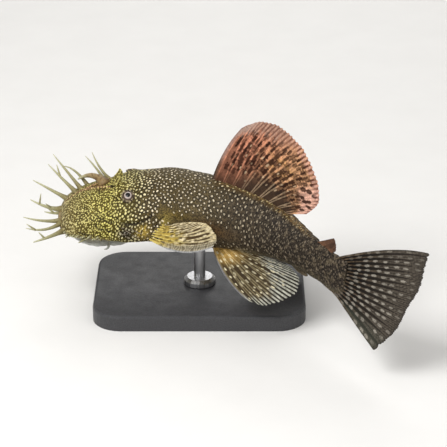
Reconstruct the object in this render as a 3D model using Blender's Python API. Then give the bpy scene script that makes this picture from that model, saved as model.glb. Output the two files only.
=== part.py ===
"""A male bristlenose pleco, life size, held by a rod over a flat display base.

Sizes along the fish are in hundredths of its body length, from the snout tip to the root of the
tail fin, and so are all others unless they are said to be in metres. A point of the straight fish
is (station, left, up): station runs from 0 at the snout tip to 100 at the tail root, left is the
fish's own left, and up is above the line of its backbone. A share across the skin runs from 0 at
the middle of the back to 1 at the middle of the belly. bend() carries points of the straight fish
to the curved one, which swims with its back half turned to its left.
"""

import math

import bmesh
import bpy
import numpy as np
from mathutils import Matrix, Vector

# Driving sizes, in metres
BODY_LENGTH = 0.100
GAP = 0.0003
BELLY_HEIGHT = 0.0210
BASE_LENGTH, BASE_WIDTH, BASE_HEIGHT = 0.066, 0.048, 0.005
BASE_CORNER, BASE_BEVEL = 0.009, 0.0008
ROD_RADIUS = 0.0018
COLLAR_RADIUS, COLLAR_HEIGHT = 0.0050, 0.0022

# One hundredth of the body length in metres, and the gap in those hundredths
UNIT = BODY_LENGTH / 100
CLEAR = GAP / UNIT

# Where the body is parted, and where the rod meets the belly
HEAD_END = 30.0
TRUNK_END = 74.0
BODY_END = 100.0
ROD_STATION = 45.0

# Colours and roughness of the materials
MATERIALS = {
    "skin": ((0.16, 0.13, 0.07), 0.42),
    "dorsal_membrane": ((0.38, 0.16, 0.10), 0.45),
    "fin_membrane": ((0.16, 0.13, 0.08), 0.45),
    "tail_membrane": ((0.08, 0.07, 0.055), 0.45),
    "eye": ((0.03, 0.03, 0.03), 0.12),
    "stand_plate": ((0.10, 0.10, 0.105), 0.6),
    "stand_metal": ((0.55, 0.55, 0.56), 0.3),
}
NODE_MATERIALS = {
    "dorsal_fin": "dorsal_membrane",
    "caudal_fin": "tail_membrane",
    "adipose_fin": "fin_membrane",
    "anal_fin": "fin_membrane",
    "pectoral_fin": "fin_membrane",
    "pelvic_fin": "fin_membrane",
    "eye": "eye",
    "stand_base": "stand_plate",
    "stand_rod": "stand_metal",
}


def curve_through(points):
    """A smooth function through (position, value) pairs that doesn't swing past them."""
    x, y = np.array(points, float).T
    step = np.diff(x)
    slope = np.diff(y) / step
    tangent = np.zeros_like(y)
    tangent[0], tangent[-1] = slope[0], slope[-1]
    same_way = slope[:-1] * slope[1:] > 0
    total = np.where(same_way, slope[:-1] + slope[1:], 1.0)
    tangent[1:-1] = np.where(same_way, 2 * slope[:-1] * slope[1:] / total, 0.0)

    def value(at):
        at = np.clip(at, x[0], x[-1])
        i = np.clip(np.searchsorted(x, at, side="right") - 1, 0, len(x) - 2)
        t = (at - x[i]) / step[i]
        rise = (3 - 2 * t) * t * t
        start = t * (1 - t) ** 2 * step[i] * tangent[i]
        end = t * t * (t - 1) * step[i] * tangent[i + 1]
        return y[i] + (y[i + 1] - y[i]) * rise + start + end

    return value


def smooth_path(points, shares):
    """Places at shares 0 to 1 along a smooth curve through evenly numbered points."""
    points = np.asarray(points, float)
    padded = np.concatenate([[2 * points[0] - points[1]], points, [2 * points[-1] - points[-2]]])
    at = np.clip(np.asarray(shares, float), 0, 1) * (len(points) - 1)
    i = np.minimum(at.astype(int), len(points) - 2)
    t = (at - i)[:, None]
    a, b, c, d = padded[i], padded[i + 1], padded[i + 2], padded[i + 3]
    cubic = (2 * a - 5 * b + 4 * c - d) * t**2 + (3 * b - a - 3 * c + d) * t**3
    return 0.5 * (2 * b + (c - a) * t + cubic)


# The swimming curve: how far the body turns towards the fish's left, and how far it dips
TURN_DEG = curve_through([(0, -5), (12, -2), (25, 4), (45, 15), (60, 32), (75, 47), (90, 53), (100, 54)])
DIP_DEG = curve_through([(0, 1), (25, 2), (45, 2.5), (60, 3), (75, 6.5), (90, 9), (100, 8), (125, 4)])
SPINE_STEP = 0.5
SPINE = np.arange(-40, 150, SPINE_STEP)

# Outline of the straight fish: half width, and back and belly from the backbone line
HALF_WIDTH = curve_through(
    [(0, 11.8), (8, 13.0), (16, 14.3), (25, 15.4), (33, 15.6), (42, 13.8), (52, 11.4), (64, 8.4)]
    + [(76, 5.6), (88, 3.3), (96, 2.3), (100, 1.7)]
)
BACK = curve_through(
    [(0, -3.4), (3, 1.0), (8, 4.2), (14, 6.5), (20, 8.4), (28, 10.8), (36, 12.2), (45, 11.8)]
    + [(58, 10.5), (72, 9.0), (86, 6.8), (94, 6.2), (100, 6.4)]
)
BELLY = curve_through(
    [(0, -8.4), (4, -8.7), (10, -8.7), (20, -8.6), (30, -7.9), (40, -8.8), (50, -9.0), (62, -8.6)]
    + [(76, -7.4), (88, -6.0), (94, -5.7), (100, -6.2)]
)
# Height of the widest line, and how square the section is above and below it
WIDEST = curve_through(
    [(0, -5.0), (10, -5.1), (25, -4.9), (31, -4.1), (40, -3.6), (60, -1.6), (80, 0), (100, 0)]
)
SQUARE_ABOVE = curve_through([(0, 2.3), (15, 2.1), (30, 2.0), (60, 1.9), (100, 1.8)])
SQUARE_BELOW = curve_through(
    [(0, 2.3), (15, 2.4), (24, 2.6), (31, 2.2), (40, 2.8), (65, 2.4), (85, 2.0), (100, 2.0)]
)
SNOUT_ROUND, SNOUT_EDGE, SNOUT_SQUARE = 9.5, 2.6, 2.4
SECTION_SAMPLES = 48

# Eyes and lids
EYE_STATION, EYE_ACROSS, EYE_RADIUS, EYE_DEPTH = 22.8, 0.255, 2.0, 1.15
LID_OUT, LID_RADIUS, LID_THICKNESS = 1.05, 1.98, 0.38
BROW_HEIGHT, BROW_SPREAD, BROW_GIRTH = 0.6, 3.4, 24.0
DOME_HEIGHT, DOME_SPREAD, DOME_ACROSS, DOME_GIRTH = 0.3, 3.6, 0.205, 42.0

# Bony plates: five rows a side, each plate rising towards its rear edge and its middle line
PLATE_FIRST, PLATE_LENGTH, PLATE_RISE = 30.0, 3.5, 0.5
PLATE_ROWS, PLATE_ROW_WIDTH = 5, 0.16
PLATE_FRONT, PLATE_REAR = 0.06, 0.94
PLATE_LEAST, PLATE_KEEL = 0.25, 0.7

# Where the rings and the long edges of the body's mesh run
HEAD_STATIONS = [0.05, 0.35, 0.9, 1.7, 2.7, 4, 5.6, 7.5, 9.6, 12, 14.5, 17, 19.2, 21, 22.5, 24, 26, 28]
HEAD_ACROSS = np.linspace(0, 1, 19)
PLATED_ACROSS = np.array([k * PLATE_ROW_WIDTH / 2 for k in range(2 * PLATE_ROWS + 1)] + [0.87, 0.94, 1])

# Sucker mouth: centre and half sizes of the lip disc, and its profile as (share of the half size,
# height); the notch on each side is where the upper lip meets the lower one
MOUTH_STATION, MOUTH_ALONG, MOUTH_ACROSS = 14.6, 10.4, 10.4
MOUTH_PROFILE = [(0.84, -7.6), (0.93, -8.7), (1.0, -9.7), (0.97, -10.5), (0.84, -10.5), (0.70, -9.8)]
MOUTH_PROFILE += [(0.3, -9.4)]
MOUTH_NOTCH, MOUTH_NOTCH_DEG, MOUTH_NOTCH_SPREAD = 0.10, 100.0, 0.22
MOUTH_TURNS = 26
MOUTH_SLIT = (0.55, 3.9, 1.5)
BARBEL_IN, BARBEL_REACH, BARBEL_BOW = 0.85, (-1.4, 3.4, -0.6), (0.5, 0.2, -0.5)

# Nostrils, each a pit with a flap behind it
NOSTRIL_STATION, NOSTRIL_ACROSS, NOSTRIL_RADIUS = 17.5, 0.095, 0.8
FLAP_STATION, FLAP_ACROSS = 18.5, 0.075
FLAP_REACH, FLAP_BOW = (0.6, -0.5, 3.2), (0.5, 0, 0)

# Bristles of the snout: root station, root share across (negative on the right), reach of the tip
# from the root and bow of the middle as (station, left, up), and root radius
BRISTLES = [
    (1.4, 0.60, (-9.2, 5.2, -1.3), (-0.1, 0.8, 0.1), 0.90),
    (0.6, 0.46, (-10.5, 3.7, 0.3), (0.2, 0.6, -1.0), 0.75),
    (0.3, 0.40, (-11.1, -0.1, 1.4), (0, 0, -0.6), 0.75),
    (0.8, -0.10, (-9.4, -3.4, 2.0), (0.3, 0, -0.8), 0.95),
    (2.6, -0.12, (-10.3, -6.2, 3.7), (0.3, -0.1, -0.2), 0.80),
    (5.4, -0.10, (-8.2, -7.1, 6.4), (0, 0, -0.1), 0.75),
    (7.0, -0.12, (-8.2, -8.3, 8.2), (0, -0.1, -0.1), 0.70),
    (9.0, -0.18, (-7.2, -6.2, 3.6), (-0.2, -0.1, 1.5), 0.60),
    (14.2, -0.02, (-7.9, -5.1, -1.0), (0.3, -1.2, 1.3), 1.00),
    (14.2, -0.16, (-5.8, -7.0, 5.0), (0, -0.2, 0.2), 0.55),
    (15.4, -0.22, (-5.0, -7.3, 5.8), (-0.4, -0.1, -0.4), 0.60),
    (3.6, -0.64, (-8.0, -5.8, -2.2), (-0.4, -0.8, -0.8), 0.80),
    (8.6, 0.64, (-2.2, 2.2, -0.4), (-0.2, 0.2, -0.2), 0.50),
    (8.4, -0.62, (-3.8, -4.6, -0.8), (-0.2, -0.6, -0.4), 0.60),
]
BRISTLE_STEPS, BRISTLE_SIDES, BRISTLE_SINK = 5, 6, 1.6
BRISTLE_FLARE, BRISTLE_TIP = 1.3, 0.22
# Side branches: which bristle, where along it, and the reach of the branch
BRANCHES = [(0, 0.60, (-1.8, 0.2, 2.2)), (1, 0.75, (-2.6, 0, 2.0)), (3, 0.72, (0.5, -0.4, 3.4))]
BRANCHES += [(3, 0.30, (-2.0, 1.0, 2.0)), (5, 0.55, (-1.0, -2.6, 3.0)), (11, 0.55, (-2.4, -0.6, 1.8))]
BRANCH_RADII = [0.45, 0.40, 0.30, 0.18]

# Small bristles along the edge of the snout, and hooked spines behind each cheek
EDGE_BRISTLES, EDGE_LENGTH, EDGE_ACROSS, EDGE_STATIONS = 6, 1.7, 0.60, (2.8, 12.0)
EDGE_RADII = [0.55, 0.55, 0.40, 0.22]
CHEEK_SPINES, CHEEK_LENGTH, CHEEK_STATIONS, CHEEK_ACROSS = 7, 3.0, (23.4, 27.4), (0.50, 0.60)
CHEEK_RADII = [0.42, 0.42, 0.34, 0.16]

# Fins: half thickness of the membrane and rise of a ray over it in metres, the tip's share of the
# thickness, how far the rim draws in between rays, and ray shapes as shares of their spacing
FIN_HALF, RAY_RISE, FIN_TIP, FIN_SCALLOP = 0.00025, 0.00032, 0.6, 0.035
RAY_INSET, RAY_HALF_WIDTH, RAY_THINNING, SPINE_SPREAD = 0.3, 0.22, 0.7, 0.05
ROOT_SINK = 1.5

DORSAL_BASE = (48.0, 74.5)
DORSAL_TIPS = [(57.6, 0, 30.6), (63.4, 0, 34.1), (69.8, 0, 35.1), (76.0, 0, 33.6), (81.6, 0, 30.5)]
DORSAL_TIPS += [(86.3, 0, 25.2), (88.3, 0, 18.9), (83.9, 0, 12.4)]
DORSAL_BOWS = [(-0.9, 0, 1.0), (-0.5, 0, 0.8), (0, 0, 0.6), (0, 0, 0.2)]
CAUDAL_TIPS = [(131.8, -6.3, 20.9), (132, -4.9, 16.3), (132.5, -3.3, 10.9), (130.4, -1.1, 3.7)]
CAUDAL_TIPS += [(128.9, 1, -3.3), (123.4, 3.6, -12)]
CAUDAL_BOWS = [(0, 0, 2.2), (0, 0, 0.6), (0, 0, 0), (0, 0, 0)]
CAUDAL_SINK = 0.6
ADIPOSE_BASE = (88.5, 96.0)
ADIPOSE_TIPS = [(97.0, 0, 11.2), (98.2, 0, 9.8), (98.5, 0, 7.5)]
ANAL_BASE = (76.0, 80.0)
ANAL_TIPS = [(83.4, 0, -8.2), (86.4, 0, -8.0), (87.8, 0, -7.4), (87.8, 0, -6.9)]
PECTORAL_HELD = 32.0
PECTORAL_ROOT = [(31.6, 14.6, -4.6), (32.8, 14.8, -2.2), (35.4, 14.3, 0.2)]
PECTORAL_TIPS = [(51.2, 16.3, -4.8), (52.2, 15.6, -2), (49.3, 14.8, 1.7), (45.6, 14.7, 2.2)]
PECTORAL_TIPS += [(40.1, 14.8, 1.3)]
PECTORAL_BOWS = [(0, 1.2, -2.6), (0, 1.6, -1.0), (0, 1.2, 0.3)]
PELVIC_HELD = 50.0
PELVIC_ROOT = [(51.5, 6.9, -6.6), (53.5, 6.3, -6.6), (56.0, 5.4, -6.3)]
PELVIC_TIPS = [(68.5, 21.0, -16.6), (73.5, 21.6, -17.0), (78.5, 19.5, -15.6), (82.4, 16, -13.2)]
PELVIC_TIPS += [(81.5, 11.5, -10.4), (77, 8.6, -8.4)]
PELVIC_BOWS = [(-1.6, 1.2, -0.6), (0, 0.6, -0.4), (0, 0, 0)]


def spine_frames():
    """Points of the backbone line, with the fish's left and up at each, in metres."""
    turn, dip = np.radians(TURN_DEG(SPINE)), np.radians(DIP_DEG(SPINE))
    along = np.stack([np.cos(turn) * np.cos(dip), -np.sin(turn) * np.cos(dip), -np.sin(dip)], 1)
    points = np.cumsum(along, axis=0) * SPINE_STEP * UNIT
    left = np.cross(along, [0, 0, 1])
    left /= np.linalg.norm(left, axis=1)[:, None]
    return points, left, np.cross(left, along)


def bend(points, held=None):
    """Places of the straight fish's points on the curved one, in metres.

    Where a held station is given, the points keep the straight fish's shape as seen from there.
    """
    points = np.atleast_2d(np.asarray(points, float))
    station = points[:, 0]
    at = station if held is None else np.full(len(points), float(held))
    parts = [np.stack([np.interp(at, SPINE, column[:, k]) for k in range(3)], 1) for column in FRAMES]
    centre, left, up = parts
    ahead = np.cross(up, left) * (station - at)[:, None]
    return centre + (ahead + left * points[:, 1:2] + up * points[:, 2:3]) * UNIT - ORIGIN


def rounding(station, length):
    """From 0 at the snout tip to 1 at the given station, a little squarer than a circle."""
    left = 1 - min(station / length, 1.0)
    return max(0.0, 1 - left**SNOUT_SQUARE) ** (1 / SNOUT_SQUARE)


def section(station):
    """(left, up) points down the left half of the body's section, from back to belly."""
    width = HALF_WIDTH(station) * rounding(station, SNOUT_ROUND)
    widest = WIDEST(station)
    edge = rounding(station, SNOUT_EDGE)
    above, below = 2 / SQUARE_ABOVE(station), 2 / SQUARE_BELOW(station)
    quarter = np.linspace(0, math.pi / 2, SECTION_SAMPLES)
    back = (BACK(station) - widest) * edge
    belly = (widest - BELLY(station)) * edge
    upper = np.stack([width * np.sin(quarter) ** above, widest + back * np.cos(quarter) ** above], 1)
    lower = np.stack([width * np.cos(quarter) ** below, widest - belly * np.sin(quarter) ** below], 1)
    return np.concatenate([upper, lower[1:]])


def along_section(station, across):
    """(left, up) and the outward normal at shares across the half section."""
    points = section(station)
    length = np.concatenate([[0], np.cumsum(np.linalg.norm(np.diff(points, axis=0), axis=1))])
    share = length / length[-1]

    def place(at):
        at = np.clip(at, 0, 1)
        return np.stack([np.interp(at, share, points[:, 0]), np.interp(at, share, points[:, 1])], 1)

    step = 0.01
    tangent = place(across + step) - place(across - step)
    normal = np.stack([-tangent[:, 1], tangent[:, 0]], 1)
    return place(across), normal / np.linalg.norm(normal, axis=1)[:, None]


def plate_relief(station, across):
    """How far the bony plates stand out."""
    along = ((station - PLATE_FIRST) / PLATE_LENGTH) % 1.0
    climb = np.clip((along - PLATE_FRONT) / (PLATE_REAR - PLATE_FRONT), 0, 1)
    off_middle = np.abs(across / PLATE_ROW_WIDTH % 1.0 - 0.5) * 2
    covered = np.where(across < PLATE_ROWS * PLATE_ROW_WIDTH, 1.0, 0.0)
    begins = np.clip((station - PLATE_FIRST) / PLATE_LENGTH, 0, 1)
    rise = PLATE_LEAST + (1 - PLATE_LEAST) * climb
    return PLATE_RISE * begins * covered * rise * (1 - PLATE_KEEL * off_middle)


def brow_relief(station, across):
    """The swelling that carries the eye."""
    along = (station - EYE_STATION) / BROW_SPREAD
    around = (across - EYE_ACROSS) * BROW_GIRTH / BROW_SPREAD
    dome_along = (station - EYE_STATION) / DOME_SPREAD
    dome_around = (across - DOME_ACROSS) * DOME_GIRTH / DOME_SPREAD
    dome = DOME_HEIGHT * np.exp(-(dome_along**2) - dome_around**2)
    return BROW_HEIGHT * np.exp(-(along**2) - around**2) + dome


def skin_points(station, across, side=1, out=0.0):
    """Points on the skin of one side, 1 for left and -1 for right, pushed out by an amount."""
    across = np.asarray(across, float)
    here, normal = along_section(station, across)
    lift = plate_relief(station, across) + brow_relief(station, across) + out
    here = here + normal * lift[:, None]
    return np.stack([np.full(len(here), float(station)), here[:, 0] * side, here[:, 1]], 1)


def skin_place(station, across, side=1, out=0.0):
    """One point on the skin."""
    return skin_points(station, [across], side, out)[0]


def plate_stations(start, end):
    """Stations of a length of body: its two ends, and each plate's front and rear edge between."""
    edges = []
    station = PLATE_FIRST
    while station < BODY_END:
        edges += [station + PLATE_FRONT * PLATE_LENGTH, station + PLATE_REAR * PLATE_LENGTH]
        station += PLATE_LENGTH
    margin = 0.3
    return [start] + [edge for edge in edges if start + margin < edge < end - margin] + [end]


def new_object(name, mesh):
    obj = bpy.data.objects.new(name, mesh)
    bpy.context.scene.collection.objects.link(obj)
    return obj


def mesh_object(name, points, faces):
    """An object with this closed mesh, its faces turned outwards."""
    mesh = bpy.data.meshes.new(name)
    mesh.from_pydata([tuple(p) for p in points], [], faces)
    work = bmesh.new()
    work.from_mesh(mesh)
    bmesh.ops.recalc_face_normals(work, faces=work.faces)
    work.to_mesh(mesh)
    work.free()
    return new_object(name, mesh)


def loft_faces(rings, around, closed=False):
    """Quads between rings of equal size, numbered one after another."""
    last = rings if closed else rings - 1
    faces = []
    for k in range(last):
        here, there = k * around, (k + 1) % rings * around
        for i in range(around):
            j = (i + 1) % around
            faces.append((here + i, here + j, there + j, there + i))
    return faces


def capped_loft(name, rings, held=None):
    """A closed solid through rings of straight-fish points, with a fan of faces at each end."""
    around = len(rings[0])
    points = np.concatenate(rings)
    ends = [rings[0].mean(axis=0), rings[-1].mean(axis=0)]
    faces = loft_faces(len(rings), around)
    first, last, top = len(points), len(points) + 1, len(points) - around
    faces += [(first, (i + 1) % around, i) for i in range(around)]
    faces += [(last, top + i, top + (i + 1) % around) for i in range(around)]
    return mesh_object(name, bend(np.concatenate([points, ends]), held), faces)


def body_piece(name, stations, across, out=0.0):
    """A closed length of the body."""
    rings = []
    for station in stations:
        left = skin_points(station, across, 1, out)
        right = skin_points(station, across[1:-1], -1, out)[::-1]
        rings.append(np.concatenate([left, right]))
    return capped_loft(name, rings)


def tube(name, path, radii, sides, narrow=1.0):
    """A closed tube along straight-fish points, narrowed from side to side by the last factor."""
    path = np.asarray(path, float)
    tangent = np.gradient(path, axis=0)
    across = Vector(tangent[0]).cross(Vector((1, 0, 0))).normalized()
    rings = []
    for centre, ahead, radius in zip(path, tangent, radii):
        ahead = Vector(ahead).normalized()
        across = (across - ahead * across.dot(ahead)).normalized()
        over = ahead.cross(across)
        ring = []
        for i in range(sides):
            turn = 2 * math.pi * i / sides
            out = across * math.cos(turn) * narrow + over * math.sin(turn)
            ring.append(Vector(centre) + out * radius)
        rings.append(np.array(ring))
    return capped_loft(name, rings)


def ball(name, centre, radii, segments=16, rings=10):
    """A closed ellipsoid with (station, left, up) half sizes."""
    work = bmesh.new()
    bmesh.ops.create_uvsphere(work, u_segments=segments, v_segments=rings, radius=1.0)
    points = np.array([vert.co for vert in work.verts]) * np.array(radii) + np.array(centre)
    faces = [[vert.index for vert in face.verts] for face in work.faces]
    work.free()
    return mesh_object(name, bend(points), faces)


def lid(side, turns=18, sides=6):
    """A raised ring round the eye."""
    centre, normal = eye_centre(side)
    normal = Vector(normal).normalized()
    centre = Vector(centre) + normal * LID_OUT
    first = normal.cross(Vector((0, 0, 1))).normalized()
    second = normal.cross(first)
    points = []
    for k in range(turns):
        turn = 2 * math.pi * k / turns
        out = first * math.cos(turn) + second * math.sin(turn)
        for i in range(sides):
            tilt = 2 * math.pi * i / sides
            reach = LID_RADIUS + LID_THICKNESS * math.cos(tilt)
            points.append(centre + out * reach + normal * (LID_THICKNESS * math.sin(tilt)))
    return mesh_object("lid", bend(points), loft_faces(turns, sides, closed=True))


def cut(obj, operation, other=None, group=None):
    """Applies one Boolean, then keeps the largest closed surface that it leaves."""
    modifier = obj.modifiers.new(operation, "BOOLEAN")
    modifier.operation = operation
    if group is None:
        modifier.object = other
    else:
        modifier.operand_type = "COLLECTION"
        modifier.collection = group
    graph = bpy.context.evaluated_depsgraph_get()
    made = bpy.data.meshes.new_from_object(obj.evaluated_get(graph))
    obj.modifiers.remove(modifier)
    uncut = obj.data
    obj.data = made
    bpy.data.meshes.remove(uncut)
    keep_largest(obj)


def keep_largest(obj):
    """Removes every closed surface of the object but the one with the most points."""
    work = bmesh.new()
    work.from_mesh(obj.data)
    left, groups = set(work.verts), []
    while left:
        reach, group = [left.pop()], []
        while reach:
            vert = reach.pop()
            group.append(vert)
            for edge in vert.link_edges:
                other = edge.other_vert(vert)
                if other in left:
                    left.remove(other)
                    reach.append(other)
        groups.append(group)
    groups.sort(key=len)
    scraps = [vert for group in groups[:-1] for vert in group]
    bmesh.ops.delete(work, geom=scraps, context="VERTS")
    work.to_mesh(obj.data)
    work.free()


def join_all(base, pieces):
    """Fuses overlapping closed pieces onto the base object."""
    group = bpy.data.collections.new("pieces")
    bpy.context.scene.collection.children.link(group)
    for piece in pieces:
        bpy.context.scene.collection.objects.unlink(piece)
        group.objects.link(piece)
    cut(base, "UNION", group=group)
    for piece in pieces:
        bpy.data.objects.remove(piece)
    bpy.data.collections.remove(group)


def eye_centre(side):
    """The middle of an eyeball, and the direction that it looks in."""
    surface = skin_place(EYE_STATION, EYE_ACROSS, side)
    deep = skin_place(EYE_STATION, EYE_ACROSS, side, -1.0)
    return surface + (deep - surface) * EYE_DEPTH, surface - deep


def bowed(root, reach, bow, steps):
    """Points from a root to its tip along one smooth bow."""
    share = np.linspace(0, 1, steps + 1)[:, None]
    return root + share * np.array(reach) + 4 * share * (1 - share) * np.array(bow)


def sunk(path, depth):
    """The path with a root added that goes into the flesh."""
    back = path[0] - path[1]
    return np.concatenate([[path[0] + back / np.linalg.norm(back) * depth], path])


def bristles():
    """The long soft bristles of the snout, some of them forked."""
    made = []
    for number, (station, across, reach, bow, radius) in enumerate(BRISTLES):
        side = -1 if across < 0 else 1
        root = skin_place(station, abs(across), side)
        path = bowed(root, reach, bow, BRISTLE_STEPS)
        share = np.linspace(0, 1, BRISTLE_STEPS + 1)
        radii = radius * BRISTLE_FLARE * (1 - share) ** 0.8 + BRISTLE_TIP * share
        radii = np.concatenate([[radii[0]], radii])
        made.append(tube("bristle", sunk(path, BRISTLE_SINK), radii, BRISTLE_SIDES))
        for parent, at, branch_reach in BRANCHES:
            if parent == number:
                fork = np.array([np.interp(at, share, path[:, k]) for k in range(3)])
                branch = bowed(fork, branch_reach, (0, 0, 0), len(BRANCH_RADII) - 1)
                made.append(tube("branch", branch, BRANCH_RADII, 5))
    return made


def edge_bristles():
    """Short bristles along both edges of the snout."""
    made = []
    for side in (1, -1):
        for k, share in enumerate(np.linspace(0, 1, EDGE_BRISTLES)):
            station = EDGE_STATIONS[0] + share * (EDGE_STATIONS[1] - EDGE_STATIONS[0])
            length = EDGE_LENGTH * (1 - 0.45 * share) * (1 + 0.25 * math.sin(5 * k + side))
            reach = (-0.6 * length, 0.7 * side * length, -0.2 * length)
            path = bowed(skin_place(station, EDGE_ACROSS, side), reach, (0, 0, 0.1), 2)
            made.append(tube("edge_bristle", sunk(path, 1.2), EDGE_RADII, 5))
    return made


def cheek_spines():
    """The hooked spines that fold back behind each cheek."""
    made = []
    for side in (1, -1):
        for k, share in enumerate(np.linspace(0, 1, CHEEK_SPINES)):
            station = CHEEK_STATIONS[0] + share * (CHEEK_STATIONS[1] - CHEEK_STATIONS[0])
            across = CHEEK_ACROSS[k % 2] * (1 - share) + CHEEK_ACROSS[1 - k % 2] * share
            length = CHEEK_LENGTH * (1 - 0.3 * abs(2 * share - 1))
            reach = (0.75 * length, 0.55 * side * length, -0.25 * length)
            path = bowed(skin_place(station, across, side), reach, (0, 0.25 * side, 0), 2)
            made.append(tube("cheek_spine", sunk(path, 1.0), CHEEK_RADII, 5))
    return made


def mouth_disc():
    """The round sucker lips under the snout, with a barbel where they meet on each side."""
    rings = []
    for share, up in MOUTH_PROFILE:
        ring = []
        for i in range(MOUTH_TURNS):
            turn = 2 * math.pi * i / MOUTH_TURNS
            off_notch = (math.radians(MOUTH_NOTCH_DEG) - abs(math.atan2(math.sin(turn), math.cos(turn))))
            notch = 1 - MOUTH_NOTCH * math.exp(-((off_notch / MOUTH_NOTCH_SPREAD) ** 2))
            ahead = -MOUTH_ALONG * share * notch * math.cos(turn)
            left = MOUTH_ACROSS * share * notch * math.sin(turn)
            ring.append((MOUTH_STATION + ahead, left, up))
        rings.append(np.array(ring))
    made = [capped_loft("lips", rings)]
    for side in (1, -1):
        turn = math.radians(MOUTH_NOTCH_DEG)
        ahead, left = -MOUTH_ALONG * math.cos(turn), side * MOUTH_ACROSS * BARBEL_IN
        root = np.array((MOUTH_STATION + ahead, left, MOUTH_PROFILE[2][1]))
        reach, bow = np.array(BARBEL_REACH), np.array(BARBEL_BOW)
        reach[1] *= side
        made.append(tube("barbel", sunk(bowed(root, reach, bow, 3), 0.8), [0.6, 0.6, 0.5, 0.4, 0.2], 5))
    return made


def nostril_flaps():
    """The thin flap that stands behind each nostril."""
    made = []
    for side in (1, -1):
        root = skin_place(FLAP_STATION, FLAP_ACROSS, side)
        reach = np.array(FLAP_REACH) * (1, side, 1)
        path = sunk(bowed(root, reach, FLAP_BOW, 3), 1.0)
        made.append(tube("nostril_flap", path, [1.3, 1.3, 1.15, 0.9, 0.35], 8, narrow=0.32))
    return made


def head_node():
    """The head, with mouth, lids, nostrils and bristles, and the hollows cut for eyes and nostrils."""
    head = body_piece("head", HEAD_STATIONS + [HEAD_END], HEAD_ACROSS)
    pieces = [lid(1), lid(-1)] + mouth_disc() + nostril_flaps()
    join_all(head, pieces + bristles() + edge_bristles() + cheek_spines())
    hollows = [((MOUTH_STATION - 0.5, 0, MOUTH_PROFILE[-1][1]), MOUTH_SLIT)]
    for side in (1, -1):
        hollows.append((eye_centre(side)[0], (EYE_RADIUS + CLEAR,) * 3))
        hollows.append((skin_place(NOSTRIL_STATION, NOSTRIL_ACROSS, side), (NOSTRIL_RADIUS,) * 3))
    for centre, radii in hollows:
        hollow = ball("hollow", centre, radii)
        cut(head, "DIFFERENCE", other=hollow)
        bpy.data.objects.remove(hollow)


def sheet_faces(height, width):
    """Triangles of a closed sheet: two faces of height by width points, split alike, and the rim."""
    faces, under = [], height * width
    for r in range(height - 1):
        for c in range(width - 1):
            a, b = r * width + c, r * width + c + 1
            d, e = a + width, b + width
            faces += [(a, b, e), (a, e, d)]
            faces += [(under + a, under + e, under + b), (under + a, under + d, under + e)]
    rim = list(range(width))
    rim += [r * width + width - 1 for r in range(1, height)]
    rim += [(height - 1) * width + c for c in range(width - 2, -1, -1)]
    rim += [r * width for r in range(height - 2, 0, -1)]
    for here, there in zip(rim, rim[1:] + rim[:1]):
        faces += [(here, under + here, under + there), (here, under + there, there)]
    return faces


def fin(name, root, tips, rays, rows, spine=0.0, bows=((0, 0, 0), (0, 0, 0)), ripple=0.0, held=None):
    """A fin membrane with its rays raised as ridges on both faces.

    root and tips are points along the fin's foot and its outer edge, from the first ray to the
    last. bows bend the rays, spine thickens the first ray in metres, and ripple waves the tips.
    """
    spacing = 1 / (rays - 1 + 2 * RAY_INSET)
    shares, crests = [0.0], [0.0]
    for ray in range(rays):
        middle, half = (ray + RAY_INSET) * spacing, RAY_HALF_WIDTH * spacing
        shares += [middle - half, middle, middle + half]
        crests += [0.0, 1.0, 0.0]
    shares, crests = np.array(shares + [1.0]), np.array(crests + [0.0])
    foot, rim = smooth_path(root, shares), smooth_path(tips, shares)
    down = np.linspace(0, 1, rows)[:, None]
    reach = (down * (1 - FIN_SCALLOP * (1 - crests)))[:, :, None]
    grid = foot + (rim - foot) * reach + 4 * reach * (1 - reach) * smooth_path(bows, shares)
    grid = bend(grid.reshape(-1, 3), held).reshape(rows, len(shares), 3)
    normal = np.cross(np.gradient(grid, axis=0), np.gradient(grid, axis=1))
    normal /= np.linalg.norm(normal, axis=2)[:, :, None]
    thinning = 1 - RAY_THINNING * down
    thick = FIN_HALF + crests * RAY_RISE * thinning + spine * np.exp(-shares / SPINE_SPREAD) * thinning
    thick[-1] *= FIN_TIP
    wave = ripple * UNIT * np.sin(shares * rays * math.pi) * down
    grid = grid + normal * wave[:, :, None]
    offset = normal * thick[:, :, None]
    points = np.concatenate([(grid + offset).reshape(-1, 3), (grid - offset).reshape(-1, 3)])
    return mesh_object(name, points, sheet_faces(rows, len(shares)))


def root_line(surface, base, count, sink):
    """A fin's foot in the middle plane, along the back or the belly, sunk into the body."""
    return [(station, 0.0, surface(station) + sink) for station in np.linspace(*base, count)]


def mirrored(points, side):
    return [(station, left * side, up) for station, left, up in points]


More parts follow.
